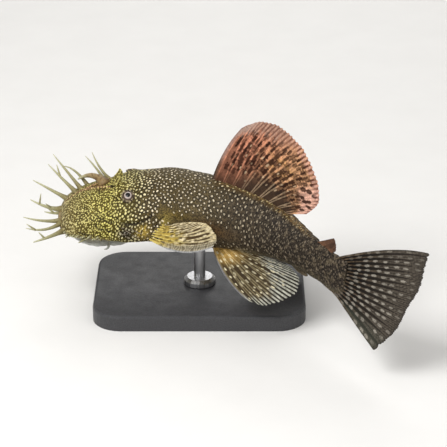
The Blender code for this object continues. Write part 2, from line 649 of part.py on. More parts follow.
def fins():
    """All fins, their feet still inside the body."""
    made = []
    root = root_line(BACK, DORSAL_BASE, 5, -ROOT_SINK)
    made.append(fin("dorsal_fin", root, DORSAL_TIPS, 9, 9, 0.0003, DORSAL_BOWS, ripple=0.12))
    station = BODY_END - CAUDAL_SINK
    heights = np.linspace(BACK(station) - CAUDAL_SINK, BELLY(station) + CAUDAL_SINK, 4)
    root = [(station, 0.0, up) for up in heights]
    made.append(fin("caudal_fin", root, CAUDAL_TIPS, 15, 9, 0.0002, CAUDAL_BOWS))
    root = root_line(BACK, ADIPOSE_BASE, 3, -ROOT_SINK)
    made.append(fin("adipose_fin", root, ADIPOSE_TIPS, 2, 5, 0.0004))
    root = root_line(BELLY, ANAL_BASE, 3, ROOT_SINK)
    made.append(fin("anal_fin", root, ANAL_TIPS, 5, 6, 0.0002))
    for side, word in ((1, "left"), (-1, "right")):
        root, tips, bows = (mirrored(p, side) for p in (PECTORAL_ROOT, PECTORAL_TIPS, PECTORAL_BOWS))
        made.append(fin("pectoral_fin_" + word, root, tips, 7, 8, 0.0007, bows, held=PECTORAL_HELD))
        root, tips, bows = (mirrored(p, side) for p in (PELVIC_ROOT, PELVIC_TIPS, PELVIC_BOWS))
        made.append(fin("pelvic_fin_" + word, root, tips, 6, 8, 0.0004, bows, held=PELVIC_HELD))
    return made


def stand_base():
    """The flat base plate, its corners round and its top edge bevelled."""
    work = bmesh.new()
    size = Matrix.Diagonal((BASE_LENGTH, BASE_WIDTH, BASE_HEIGHT, 1))
    bmesh.ops.create_cube(work, size=1.0, matrix=Matrix.Translation((0, 0, BASE_HEIGHT / 2)) @ size)
    upright = [e for e in work.edges if abs(e.verts[0].co.z - e.verts[1].co.z) > BASE_HEIGHT / 2]
    bmesh.ops.bevel(work, geom=upright, offset=BASE_CORNER, segments=8, affect="EDGES", profile=0.5)
    top = [e for e in work.edges if min(v.co.z for v in e.verts) > BASE_HEIGHT - GAP]
    bmesh.ops.bevel(work, geom=top, offset=BASE_BEVEL, segments=2, affect="EDGES", profile=0.5)
    mesh = bpy.data.meshes.new("stand_base")
    work.to_mesh(mesh)
    work.free()
    new_object("stand_base", mesh)


def stand_rod():
    """The rod and its collar; its top still reaches into the belly."""
    bottom = BASE_HEIGHT + GAP
    profile = [(COLLAR_RADIUS, bottom), (COLLAR_RADIUS, bottom + COLLAR_HEIGHT * 0.6)]
    profile += [(COLLAR_RADIUS * 0.8, bottom + COLLAR_HEIGHT), (ROD_RADIUS, bottom + COLLAR_HEIGHT)]
    profile += [(ROD_RADIUS, BELLY_HEIGHT + 4 * UNIT)]
    sides, points = 20, []
    for radius, height in profile:
        for i in range(sides):
            turn = 2 * math.pi * i / sides
            points.append((radius * math.cos(turn), radius * math.sin(turn), height))
    faces = loft_faces(len(profile), sides)
    top = (len(profile) - 1) * sides
    faces += [tuple(reversed(range(sides))), tuple(range(top, top + sides))]
    return mesh_object("stand_rod", points, faces)


def body_guard():
    """The whole body grown by the gap, to cut what meets it."""
    stations = HEAD_STATIONS + plate_stations(HEAD_END, BODY_END) + [BODY_END + CLEAR]
    return body_piece("guard", stations, HEAD_ACROSS, out=CLEAR)


def finish_node(obj, parent):
    """Sets a node's material, shading, origin and parent."""
    kind = next((slot for name, slot in NODE_MATERIALS.items() if obj.name.startswith(name)), "skin")
    obj.data.materials.clear()
    obj.data.materials.append(bpy.data.materials[kind])
    obj.data.shade_smooth()
    obj.data.set_sharp_from_angle(angle=math.radians(30))
    centre = sum((vert.co for vert in obj.data.vertices), Vector()) / len(obj.data.vertices)
    obj.data.transform(Matrix.Translation(-centre))
    obj.location = centre
    obj.parent = parent


def make_materials():
    for name, (colour, roughness) in MATERIALS.items():
        material = bpy.data.materials.new(name)
        material.use_nodes = True
        shader = material.node_tree.nodes["Principled BSDF"]
        shader.inputs["Base Color"].default_value = (*colour, 1)
        shader.inputs["Roughness"].default_value = roughness
        shader.inputs["Metallic"].default_value = 1.0 if name == "stand_metal" else 0.0


def main():
    for obj in list(bpy.data.objects):
        bpy.data.objects.remove(obj)
    make_materials()
    head_node()
    body_piece("trunk", plate_stations(HEAD_END + CLEAR, TRUNK_END), PLATED_ACROSS)
    body_piece("tail_stalk", plate_stations(TRUNK_END + CLEAR, BODY_END), PLATED_ACROSS)
    for side, word in ((1, "left"), (-1, "right")):
        ball("eye_" + word, eye_centre(side)[0], (EYE_RADIUS,) * 3)
    guard = body_guard()
    for piece in fins() + [stand_rod()]:
        cut(piece, "DIFFERENCE", other=guard)
    bpy.data.objects.remove(guard)
    stand_base()
    nodes = list(bpy.data.objects)
    fish, stand = new_object("fish", None), new_object("stand", None)
    for node in nodes:
        finish_node(node, stand if node.name.startswith("stand_") else fish)


FRAMES = spine_frames()
ORIGIN = np.zeros(3)
ORIGIN = bend([(ROD_STATION, 0, BELLY(ROD_STATION))])[0] - np.array([0, 0, BELLY_HEIGHT])
main()
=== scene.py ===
"""The looks of the bristlenose pleco: its skin, fins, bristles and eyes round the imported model.

Sizes of the fish are in hundredths of its body length, one of which is a millimetre here, unless
they are said to be in metres. A point of the straight fish is (station, left, up): station runs
from 0 at the snout tip to 100 at the tail root, left is the fish's own left, and up is above the
line of its backbone. A share across the skin runs from 0 at the middle of the back to 1 at the
middle of the belly. bend() carries points of the straight fish to the curved one.
"""

import math

import bpy
import numpy as np
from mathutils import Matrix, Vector


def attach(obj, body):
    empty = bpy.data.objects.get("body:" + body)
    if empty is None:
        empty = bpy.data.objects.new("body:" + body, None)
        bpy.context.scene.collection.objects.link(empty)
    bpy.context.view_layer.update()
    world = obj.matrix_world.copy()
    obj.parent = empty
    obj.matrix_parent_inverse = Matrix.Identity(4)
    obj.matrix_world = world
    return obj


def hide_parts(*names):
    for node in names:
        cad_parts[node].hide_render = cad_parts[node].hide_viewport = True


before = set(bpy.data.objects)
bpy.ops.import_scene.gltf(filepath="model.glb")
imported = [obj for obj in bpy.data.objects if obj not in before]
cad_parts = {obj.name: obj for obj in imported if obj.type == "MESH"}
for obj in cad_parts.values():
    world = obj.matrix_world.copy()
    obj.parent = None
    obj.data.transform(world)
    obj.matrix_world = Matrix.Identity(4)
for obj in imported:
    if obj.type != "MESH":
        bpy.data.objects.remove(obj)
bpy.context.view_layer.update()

UNIT = 0.001
BELLY_HEIGHT = 0.0210
ROD_STATION = 45.0
BODY_END = 100.0
SIDES = {1: "left", -1: "right"}


def curve_through(points):
    """A smooth function through (position, value) pairs that doesn't swing past them."""
    x, y = np.array(points, float).T
    step = np.diff(x)
    slope = np.diff(y) / step
    tangent = np.zeros_like(y)
    tangent[0], tangent[-1] = slope[0], slope[-1]
    same_way = slope[:-1] * slope[1:] > 0
    total = np.where(same_way, slope[:-1] + slope[1:], 1.0)
    tangent[1:-1] = np.where(same_way, 2 * slope[:-1] * slope[1:] / total, 0.0)

    def value(at):
        at = np.clip(at, x[0], x[-1])
        i = np.clip(np.searchsorted(x, at, side="right") - 1, 0, len(x) - 2)
        t = (at - x[i]) / step[i]
        rise = (3 - 2 * t) * t * t
        start = t * (1 - t) ** 2 * step[i] * tangent[i]
        end = t * t * (t - 1) * step[i] * tangent[i + 1]
        return y[i] + (y[i + 1] - y[i]) * rise + start + end

    return value


def smooth_path(points, shares):
    """Places at shares 0 to 1 along a smooth curve through evenly numbered points."""
    points = np.asarray(points, float)
    padded = np.concatenate([[2 * points[0] - points[1]], points, [2 * points[-1] - points[-2]]])
    at = np.clip(np.asarray(shares, float), 0, 1) * (len(points) - 1)
    i = np.minimum(at.astype(int), len(points) - 2)
    t = (at - i)[:, None]
    a, b, c, d = padded[i], padded[i + 1], padded[i + 2], padded[i + 3]
    cubic = (2 * a - 5 * b + 4 * c - d) * t**2 + (3 * b - a - 3 * c + d) * t**3
    return 0.5 * (2 * b + (c - a) * t + cubic)


# The swimming curve and the outline of the straight fish, as in the part's source
TURN_DEG = curve_through([(0, -5), (12, -2), (25, 4), (45, 15), (60, 32), (75, 47), (90, 53), (100, 54)])
DIP_DEG = curve_through([(0, 1), (25, 2), (45, 2.5), (60, 3), (75, 6.5), (90, 9), (100, 8), (125, 4)])
SPINE_STEP = 0.5
SPINE = np.arange(-40, 150, SPINE_STEP)
HALF_WIDTH = curve_through(
    [(0, 11.8), (8, 13.0), (16, 14.3), (25, 15.4), (33, 15.6), (42, 13.8), (52, 11.4), (64, 8.4)]
    + [(76, 5.6), (88, 3.3), (96, 2.3), (100, 1.7)]
)
BACK = curve_through(
    [(0, -3.4), (3, 1.0), (8, 4.2), (14, 6.5), (20, 8.4), (28, 10.8), (36, 12.2), (45, 11.8)]
    + [(58, 10.5), (72, 9.0), (86, 6.8), (94, 6.2), (100, 6.4)]
)
BELLY = curve_through(
    [(0, -8.4), (4, -8.7), (10, -8.7), (20, -8.6), (30, -7.9), (40, -8.8), (50, -9.0), (62, -8.6)]
    + [(76, -7.4), (88, -6.0), (94, -5.7), (100, -6.2)]
)
WIDEST = curve_through(
    [(0, -5.0), (10, -5.1), (25, -4.9), (31, -4.1), (40, -3.6), (60, -1.6), (80, 0), (100, 0)]
)
SQUARE_ABOVE = curve_through([(0, 2.3), (15, 2.1), (30, 2.0), (60, 1.9), (100, 1.8)])
SQUARE_BELOW = curve_through(
    [(0, 2.3), (15, 2.4), (24, 2.6), (31, 2.2), (40, 2.8), (65, 2.4), (85, 2.0), (100, 2.0)]
)
SNOUT_ROUND, SNOUT_EDGE, SNOUT_SQUARE = 9.5, 2.6, 2.4
SECTION_SAMPLES = 48
# Beyond the tail root the flesh thins out over the foot of the tail fin
FOOT_THINS = curve_through([(100, 1.0), (101.5, 0.72), (103, 0.4), (104.4, 0.12)])
FOOT_END = 104.4

EYE_STATION, EYE_ACROSS, EYE_RADIUS, EYE_DEPTH = 22.8, 0.255, 2.0, 1.15
LID_OUT, LID_RADIUS, LID_THICKNESS = 1.05, 1.98, 0.38
BROW_HEIGHT, BROW_SPREAD, BROW_GIRTH = 0.6, 3.4, 24.0
DOME_HEIGHT, DOME_SPREAD, DOME_ACROSS, DOME_GIRTH = 0.3, 3.6, 0.205, 42.0
SOCKET_RADIUS, SOCKET_DEPTH = 1.75, 1.8

PLATE_FIRST, PLATE_LENGTH, PLATE_RISE = 30.0, 3.5, 0.5
PLATE_ROWS, PLATE_ROW_WIDTH = 5, 0.16
PLATE_FRONT, PLATE_REAR = 0.06, 0.94
PLATE_LEAST, PLATE_KEEL = 0.25, 0.7
SCUTE_RISE = curve_through([(30, 0.10), (50, 0.16), (64, 0.30), (84, 0.34), (104, 0.2)])

NOSTRIL_STATION, NOSTRIL_ACROSS, NOSTRIL_RADIUS, NOSTRIL_DEPTH = 17.5, 0.095, 0.8, 0.7
FLAP_STATION, FLAP_ACROSS, FLAP_SINK, FLAP_EDGE = 18.5, 0.075, 1.0, 0.12
FLAP_REACH, FLAP_BOW, FLAP_RADIUS, FLAP_FLAT = (0.5, -0.3, 3.0), (0.4, 0, 0), 1.0, 0.3

MOUTH_STATION, MOUTH_ALONG, MOUTH_ACROSS, MOUTH_BUMP = 14.6, 10.4, 10.4, 0.12
MOUTH_PROFILE = [(0.84, -7.6), (0.93, -8.7), (1.0, -9.7), (0.97, -10.5), (0.84, -10.5), (0.70, -9.8)]
MOUTH_PROFILE += [(0.3, -9.4)]
MOUTH_NOTCH, MOUTH_NOTCH_DEG, MOUTH_NOTCH_SPREAD = 0.10, 100.0, 0.22
BARBEL_IN, BARBEL_REACH, BARBEL_BOW = 0.85, (-1.4, 3.4, -0.6), (0.5, 0.2, -0.5)
BARBEL_RADII, BARBEL_SINK = (0.6, 0.16), 0.8
LIP_COLOUR = (178, 179, 171)

# Bristles: root station, root share across (negative on the right), reach of the tip from the
# root and bow of the middle, and root radius; then the branches, by the number of their bristle
BRISTLES = [
    (1.4, 0.60, (-9.2, 5.2, -1.3), (-0.1, 0.8, 0.1), 0.90),
    (0.6, 0.46, (-10.5, 3.7, 0.3), (0.2, 0.6, -1.0), 0.75),
    (0.3, 0.40, (-11.1, -0.1, 1.4), (0, 0, -0.6), 0.75),
    (0.8, -0.10, (-9.4, -3.4, 2.0), (0.3, 0, -0.8), 0.95),
    (2.6, -0.12, (-10.3, -6.2, 3.7), (0.3, -0.1, -0.2), 0.80),
    (5.4, -0.10, (-8.2, -7.1, 6.4), (0, 0, -0.1), 0.75),
    (7.0, -0.12, (-8.2, -8.3, 8.2), (0, -0.1, -0.1), 0.70),
    (9.0, -0.18, (-7.2, -6.2, 3.6), (-0.2, -0.1, 1.5), 0.60),
    (14.2, -0.02, (-7.9, -5.1, -1.0), (0.3, -1.2, 1.3), 1.25),
    (14.2, -0.16, (-5.8, -7.0, 5.0), (0, -0.2, 0.2), 0.55),
    (15.4, -0.22, (-5.0, -7.3, 5.8), (-0.4, -0.1, -0.4), 0.60),
    (3.6, -0.64, (-8.0, -5.8, -2.2), (-0.4, -0.8, -0.8), 0.80),
    (8.6, 0.64, (-2.2, 2.2, -0.4), (-0.2, 0.2, -0.2), 0.50),
    (8.4, -0.62, (-3.8, -4.6, -0.8), (-0.2, -0.6, -0.4), 0.60),
]
BRISTLE_FLARE, BRISTLE_TIP, BRISTLE_SINK, BRISTLE_FINE = 0.5, 0.16, 1.6, 0.82
THICK_BRISTLE, THICK_FRECKLED, THIN_FRECKLED = 1.0, 0.9, 0.25
BRANCH_RADIUS, BRANCH_TIP, BRANCH_SINK = 0.36, 0.3, 0.2
BRANCHES = [(0, 0.60, (-1.8, 0.2, 2.2)), (1, 0.75, (-2.6, 0, 2.0)), (3, 0.72, (0.5, -0.4, 3.4))]
BRANCHES += [(3, 0.30, (-2.0, 1.0, 2.0)), (5, 0.55, (-1.0, -2.6, 3.0)), (11, 0.55, (-2.4, -0.6, 1.8))]
# The small bristles of the snout's edge and the cheek's spines, on each side
EDGE_BRISTLES, EDGE_FIRST, EDGE_LENGTH, EDGE_ACROSS, EDGE_RADIUS = 22, 1.0, 12.5, 0.60, 0.34
SPINES, SPINES_FIRST, SPINES_LENGTH, SPINES_ACROSS, SPINE_RADIUS = 10, 21.2, 6.2, 0.50, 0.17
SPINES_SPREAD, GOLDEN_SHARE = 0.085, 0.618

# Fins: the scallops of the rims, the margin beside the first and last ray in ray spacings, and
# how deep the feet go into the flesh
FIN_SCALLOP, RAY_INSET, ROOT_SINK, CAUDAL_SINK = 0.035, 0.3, 1.5, 0.6
# Half the thickness of a fin's skin in metres, and what its foot and its rays have more
MEMBRANE, FOOT_THICKENS, RAY_RISE = 0.00009, 0.0005, 0.0002
# The share of its thickness that a fin loses down to its rim, and the width of its front spine
THINS_BY, SPINE_WIDTH = 0.65, 0.05
# The fins' outlines, as in the part's source: feet, tips of rays and bows of rays
DORSAL_BASE = (48.0, 74.5)
DORSAL_TIPS = [(57.6, 0, 30.6), (63.4, 0, 34.1), (69.8, 0, 35.1), (76.0, 0, 33.6), (81.6, 0, 30.5)]
DORSAL_TIPS += [(86.3, 0, 25.2), (88.3, 0, 18.9), (83.9, 0, 12.4)]
DORSAL_BOWS = [(-0.9, 0, 1.0), (-0.5, 0, 0.8), (0, 0, 0.6), (0, 0, 0.2)]
CAUDAL_TIPS = [(131.8, -6.3, 20.9), (132, -4.9, 16.3), (132.5, -3.3, 10.9), (130.4, -1.1, 3.7)]
CAUDAL_TIPS += [(128.9, 1, -3.3), (123.4, 3.6, -12)]
CAUDAL_BOWS = [(0, 0, 2.2), (0, 0, 0.6), (0, 0, 0), (0, 0, 0)]
CAUDAL_RAYS, CAUDAL_ARCS = 15, 8
ADIPOSE_BASE = (88.5, 96.0)
ADIPOSE_TIPS = [(97.0, 0, 11.2), (98.2, 0, 9.8), (98.5, 0, 7.5)]
ANAL_BASE = (76.0, 80.0)
ANAL_TIPS = [(83.4, 0, -8.2), (86.4, 0, -8.0), (87.8, 0, -7.4), (87.8, 0, -6.9)]
PECTORAL_HELD = 32.0
PECTORAL_ROOT = [(31.6, 14.6, -4.6), (32.8, 14.8, -2.2), (35.4, 14.3, 0.2)]
PECTORAL_TIPS = [(51.2, 16.3, -4.8), (52.2, 15.6, -2), (49.3, 14.8, 1.7), (45.6, 14.7, 2.2)]
PECTORAL_TIPS += [(40.1, 14.8, 1.3)]
PECTORAL_BOWS = [(0, 1.2, -2.6), (0, 1.6, -1.0), (0, 1.2, 0.3)]
PELVIC_HELD = 50.0
PELVIC_ROOT = [(51.5, 6.9, -6.6), (53.5, 6.3, -6.6), (56.0, 5.4, -6.3)]
PELVIC_TIPS = [(68.5, 21.0, -16.6), (73.5, 21.6, -17.0), (78.5, 19.5, -15.6), (82.4, 16, -13.2)]
PELVIC_TIPS += [(81.5, 11.5, -10.4), (77, 8.6, -8.4)]
PELVIC_BOWS = [(-1.6, 1.2, -0.6), (0, 0.6, -0.4), (0, 0, 0)]

# How fine the meshes are
ACROSS_STEPS, SNOUT_RINGS, SNOUT_FINE_END = 220, 60, 8
HEAD_FINE, TRUNK_FINE = 0.16, 0.22


def spine_frames():
    """Points of the backbone line, with the fish's left and up at each, in metres."""
    turn, dip = np.radians(TURN_DEG(SPINE)), np.radians(DIP_DEG(SPINE))
    along = np.stack([np.cos(turn) * np.cos(dip), -np.sin(turn) * np.cos(dip), -np.sin(dip)], 1)
    points = np.cumsum(along, axis=0) * SPINE_STEP * UNIT
    left = np.cross(along, [0, 0, 1])
    left /= np.linalg.norm(left, axis=1)[:, None]
    return points, left, np.cross(left, along)


def bend(points, held=None):
    """Places of the straight fish's points on the curved one, in metres.

    Where a held station is given, the points keep the straight fish's shape as seen from there.
    """
    points = np.atleast_2d(np.asarray(points, float))
    station = points[:, 0]
    at = station if held is None else np.full(len(points), float(held))
    parts = [np.stack([np.interp(at, SPINE, column[:, k]) for k in range(3)], 1) for column in FRAMES]
    centre, left, up = parts
    ahead = np.cross(up, left) * (station - at)[:, None]
    return centre + (ahead + left * points[:, 1:2] + up * points[:, 2:3]) * UNIT - ORIGIN


# The origin is on the floor, under the place where the rod enters the belly
FRAMES = spine_frames()
ORIGIN = np.zeros(3)
ORIGIN = bend([(ROD_STATION, 0, BELLY(ROD_STATION))])[0] - np.array([0, 0, BELLY_HEIGHT])


def ramp(low, high, at):
    """From 0 at low to 1 at high, smooth at both ends. It falls where low is the larger."""
    t = np.clip((np.asarray(at, float) - low) / (high - low), 0, 1)
    return t * t * (3 - 2 * t)


def hump(at, middle, spread):
    """A bell of height 1."""
    return np.exp(-(((np.asarray(at, float) - middle) / spread) ** 2))


def rounding(station, length):
    """From 0 at the snout tip to 1 at the given station, a little squarer than a circle."""
    left = 1 - min(station / length, 1.0)
    return max(0.0, 1 - left**SNOUT_SQUARE) ** (1 / SNOUT_SQUARE)


def section(station):
    """(left, up) points down the left half of the body's section, from back to belly."""
    width = HALF_WIDTH(station) * rounding(station, SNOUT_ROUND) * FOOT_THINS(station)
    widest = WIDEST(station)
    edge = rounding(station, SNOUT_EDGE)
    above, below = 2 / SQUARE_ABOVE(station), 2 / SQUARE_BELOW(station)
    quarter = np.linspace(0, math.pi / 2, SECTION_SAMPLES)
    back = (BACK(station) - widest) * edge
    belly = (widest - BELLY(station)) * edge
    upper = np.stack([width * np.sin(quarter) ** above, widest + back * np.cos(quarter) ** above], 1)
    lower = np.stack([width * np.cos(quarter) ** below, widest - belly * np.sin(quarter) ** below], 1)
    return np.concatenate([upper, lower[1:]])


def along_section(station, across):
    """(left, up), the outward normal at shares across the half section, and its whole length."""
    points = section(station)
    length = np.concatenate([[0], np.cumsum(np.linalg.norm(np.diff(points, axis=0), axis=1))])
    share = length / length[-1]

    def place(at):
        at = np.clip(at, 0, 1)
        return np.stack([np.interp(at, share, points[:, 0]), np.interp(at, share, points[:, 1])], 1)

    step = 0.01
    tangent = place(across + step) - place(across - step)
    normal = np.stack([-tangent[:, 1], tangent[:, 0]], 1)
    return place(across), normal / np.linalg.norm(normal, axis=1)[:, None], length[-1]


def plate_relief(station, across):
    """How far the bony plates stand out."""
    along = ((station - PLATE_FIRST) / PLATE_LENGTH) % 1.0
    climb = np.clip((along - PLATE_FRONT) / (PLATE_REAR - PLATE_FRONT), 0, 1)
    off_middle = np.abs(across / PLATE_ROW_WIDTH % 1.0 - 0.5) * 2
    covered = np.where(across < PLATE_ROWS * PLATE_ROW_WIDTH, 1.0, 0.0)
    begins = np.clip((station - PLATE_FIRST) / PLATE_LENGTH, 0, 1)
    rise = PLATE_LEAST + (1 - PLATE_LEAST) * climb
    return PLATE_RISE * begins * covered * rise * (1 - PLATE_KEEL * off_middle)


def scutes(station, across):
    """Relief of the skin's bony plates, whose rows are staggered, and 1 along their rear edges."""
    row = np.floor(across / PLATE_ROW_WIDTH)
    off_middle = np.abs(across / PLATE_ROW_WIDTH % 1.0 - 0.5) * 2
    along = ((station - PLATE_FIRST) / PLATE_LENGTH + 0.5 * (row % 2) + 0.22 * off_middle**2) % 1.0
    climb = ramp(0, 0.9, along) * ramp(1.0, 0.92, along)
    begins = ramp(PLATE_FIRST, PLATE_FIRST + 8, station) * ramp(0.84, 0.74, across)
    rise = SCUTE_RISE(station) * begins * (0.25 + 0.75 * climb) * (1 - 0.45 * off_middle)
    return rise, hump(along, 0.84, 0.12) * begins


def brow_relief(station, across):
    """The swelling that carries the eye."""
    along = (station - EYE_STATION) / BROW_SPREAD
    around = (across - EYE_ACROSS) * BROW_GIRTH / BROW_SPREAD
    dome_along = (station - EYE_STATION) / DOME_SPREAD
    dome_around = (across - DOME_ACROSS) * DOME_GIRTH / DOME_SPREAD
    dome = DOME_HEIGHT * np.exp(-(dome_along**2) - dome_around**2)
    return BROW_HEIGHT * np.exp(-(along**2) - around**2) + dome


def skin_place(station, across, side=1, out=0.0):
    """One point on the skin of one side, 1 for left and -1 for right, pushed out by an amount."""
    here, normal, _ = along_section(station, np.array([across]))
    here = here + normal * (plate_relief(station, across) + brow_relief(station, across) + out)
    return np.array([station, here[0, 0] * side, here[0, 1]])


def eye_axes(side):
    """The middle of an eyeball, the direction that it looks in, and two more across that one."""
    surface = skin_place(EYE_STATION, EYE_ACROSS, side)
    deep = skin_place(EYE_STATION, EYE_ACROSS, side, -1.0)
    ahead = (surface - deep) / np.linalg.norm(surface - deep)
    first = np.cross(ahead, (0, 0, 1))
    first /= np.linalg.norm(first)
    return surface + (deep - surface) * EYE_DEPTH, ahead, first, np.cross(ahead, first)


def light(colour):
    """A colour as light. A tuple holds the usual 0 to 255 screen values, an array is light already."""
    if not isinstance(colour, tuple):
        return colour
    screen = np.array(colour) / 255
    return np.where(screen <= 0.04045, screen / 12.92, ((screen + 0.055) / 1.055) ** 2.4)


def blend(first, second, share):
    """Between two colours or colour fields, by a field of shares."""
    share = np.asarray(share)[..., None]
    return light(first) * (1 - share) + light(second) * share


def waves(u, v, size, seed):
    """Smooth unevenness from -1 to 1 with forms of about the given size."""
    rng = np.random.default_rng(seed)
    total = np.zeros(np.shape(u))
    for _ in range(7):
        turn, phase = rng.uniform(0, 2 * math.pi, 2)
        pitch = size * rng.uniform(0.7, 1.6)
        total += np.sin(2 * math.pi * (u * math.cos(turn) + v * math.sin(turn)) / pitch + phase)
    return total / 4.5


def add_object(name, data):
    """A new object in the scene."""
    obj = bpy.data.objects.new(name, data)
    bpy.context.scene.collection.objects.link(obj)
    return obj


def colour_object(name, points, faces, fields, material):
    """An object from a closed mesh, with colour and number fields kept at its points."""
    mesh = bpy.data.meshes.new(name)
    mesh.from_pydata(points.tolist(), [], faces)
    for field, values in fields.items():
        if values.ndim == 2:
            layer = mesh.attributes.new(field, "FLOAT_COLOR", "POINT")
            rgba = np.concatenate([values, np.ones((len(values), 1))], axis=1)
            layer.data.foreach_set("color", rgba.astype(np.float32).ravel())
        else:
            layer = mesh.attributes.new(field, "FLOAT", "POINT")
            layer.data.foreach_set("value", values.astype(np.float32))
    mesh.shade_smooth()
    mesh.materials.append(material)
    return add_object(name, mesh)


def ring(centre, first, second, count):
    """Points of an ellipse round a centre, given its two half axes."""
    turn = 2 * math.pi * np.arange(count)[:, None] / count
    return np.asarray(centre) + np.cos(turn) * np.asarray(first) + np.sin(turn) * np.asarray(second)


def loft_faces(rings, around, closed=False):
    """Quads between rings of equal size, numbered one after another."""
    faces = []
    for k in range(rings if closed else rings - 1):
        here, there = k * around, (k + 1) % rings * around
        for i in range(around):
            j = (i + 1) % around
            faces.append((here + i, here + j, there + j, there + i))
    return faces


def turned_out(points, faces):
    """The faces of a closed shell, turned over if they look inwards."""
    fans = [(face[0], *pair) for face in faces for pair in zip(face[1:], face[2:])]
    a, b, c = points[np.array(fans)].transpose(1, 0, 2)
    inwards = np.sum(a * np.cross(b, c)) < 0
    return [tuple(reversed(face)) for face in faces] if inwards else faces


def capped(rings, around, ends):
    """A closed shell on the curved fish, from rings of straight points and a point for each end."""
    faces = loft_faces(len(rings) // around, around)
    first, last, top = len(rings), len(rings) + 1, len(rings) - around
    faces += [(first, (i + 1) % around, i) for i in range(around)]
    faces += [(last, top + i, top + (i + 1) % around) for i in range(around)]
    points = bend(np.concatenate([rings, ends]))
    return points, turned_out(points, faces)


class Shells:
    """Closed shells gathered for one object, with the fields of their points."""

    def __init__(self):
        self.points, self.faces, self.fields = [], [], {}
        self.count = 0

    def add(self, points, faces, **fields):
        self.faces += [tuple(self.count + i for i in face) for face in faces]
        self.points.append(points)
        self.count += len(points)
        for name, values in fields.items():
            values = np.asarray(values, float)
            if values.ndim == 1 and len(values) == 3:
                values = np.tile(values, (len(points), 1))
            self.fields.setdefault(name, []).append(values)

    def add_plain(self, points, faces, colour):
        """Adds a shell without spots."""
        none = np.full(len(points), -1.0)
        self.add(points, faces, ground=colour, marks=colour, spots=none, tone=none * 0)

    def object(self, name, material):
        fields = {field: np.concatenate(parts) for field, parts in self.fields.items()}
        return colour_object(name, np.concatenate(self.points), self.faces, fields, material)


def tube_shell(path, radii, sides, narrow=1.0):
    """Points, faces and shares along of a closed tube, narrowed from side to side by a factor."""
    tangent = np.gradient(path, axis=0)
    across = Vector(tangent[0]).cross(Vector((1, 0, 0))).normalized()
    rings = []
    for centre, ahead, radius in zip(path, tangent, radii):
        ahead = Vector(ahead).normalized()
        across = (across - ahead * across.dot(ahead)).normalized()
        rings.append(ring(centre, across * narrow * radius, ahead.cross(across) * radius, sides))
    points, faces = capped(np.concatenate(rings), sides, path[[0, -1]])
    along = np.concatenate([np.repeat(np.linspace(0, 1, len(path)), sides), [0, 1]])
    return points, faces, along


def bowed(root, reach, bow, steps):
    """Points from a root to its tip along one smooth bow."""
    share = np.linspace(0, 1, steps + 1)[:, None]
    return root + share * np.array(reach) + 4 * share * (1 - share) * np.array(bow)


def sunk(path, depth):
    """The path with a root added that goes into the flesh."""
    back = path[0] - path[1]
    return np.concatenate([[path[0] + back / np.linalg.norm(back) * depth], path])


def scatter(rng, tries, spread, half_width, spacing):
    """Places (u, v) at random, each at least its own spacing (along, across) from the others."""
    kept, count = np.empty((tries, 2)), 0
    for _ in range(tries):
        u = rng.uniform(*spread)
        v = rng.uniform(-1, 1) * half_width(u)
        gap_u, gap_v = spacing(u, v)
        taken_u, taken_v = kept[:count].T
        if np.all(((u - taken_u) / gap_u) ** 2 + ((v - taken_v) / gap_v) ** 2 >= 1):
            kept[count] = u, v
            count += 1
    return kept[:count].tolist()


def stamp(depth, tone, u, v, row, col, spot, width=1.0):
    """Marks one spot on a sheet: depth is 1 at a spot's middle and 0 at its edge.

    u and v are the sheet's flat places, v in shares of the sheet's width there, and a spot is
    (u, v, half length, half width, turn, tone).
    """
    at_u, at_v, half_u, half_v, turn, bright = spot
    reach = 1.6 * max(half_u, half_v)
    rows, cols = u.shape
    step_u = abs(u[min(row + 1, rows - 1), col] - u[max(row - 1, 0), col]) / 2 + 1e-6
    step_v = abs(v[row, min(col + 1, cols - 1)] - v[row, max(col - 1, 0)]) * width / 2 + 1e-6
    down, side = int(reach / step_u) + 2, int(reach / step_v) + 2
    block = (slice(max(row - down, 0), row + down + 1), slice(max(col - side, 0), col + side + 1))
    du, dv = u[block] - at_u, (v[block] - at_v) * width
    long = (du * math.cos(turn) + dv * math.sin(turn)) / half_u
    wide = (dv * math.cos(turn) - du * math.sin(turn)) / half_v
    here = 1 - np.hypot(long, wide)
    better = here > depth[block]
    depth[block] = np.where(better, here, depth[block])
    tone[block] = np.where(better, bright, tone[block])


# Colours of the skin between and in its spots, along the fish: (station, colour)
GROUND_COLOURS = [
    (0, (108, 94, 56)), (8, (88, 76, 32)), (16, (88, 77, 20)), (23, (80, 69, 20)), (30, (80, 67, 36)),
    (45, (88, 76, 50)), (60, (66, 56, 41)), (75, (52, 44, 35)), (90, (52, 44, 35)), (104, (50, 42, 34)),
]
SPOT_COLOURS = [
    (0, (190, 178, 136)), (8, (202, 192, 122)), (16, (212, 202, 114)), (24, (214, 204, 146)),
    (32, (222, 208, 178)), (45, (202, 189, 163)), (60, (178, 165, 140)), (75, (154, 141, 121)),
    (90, (130, 118, 102)), (104, (116, 104, 90)),
]
SPOT_SPACING = curve_through(
    [(0, 0.58), (12, 0.60), (19, 0.76), (27, 0.96), (36, 1.04), (46, 1.26), (60, 1.36)]
    + [(80, 0.96), (104, 0.95)]
)
SPOT_FILL = curve_through(
    [(0, 0.52), (14, 0.53), (22, 0.48), (30, 0.39), (45, 0.30), (60, 0.30), (104, 0.38)]
)
SPOT_STRETCH = curve_through([(0, 1.0), (54, 1.0), (66, 1.8), (78, 2.8), (92, 2.4), (104, 1.8)])
SPOT_TRIES, SPOT_FIRST = 120000, 0.4
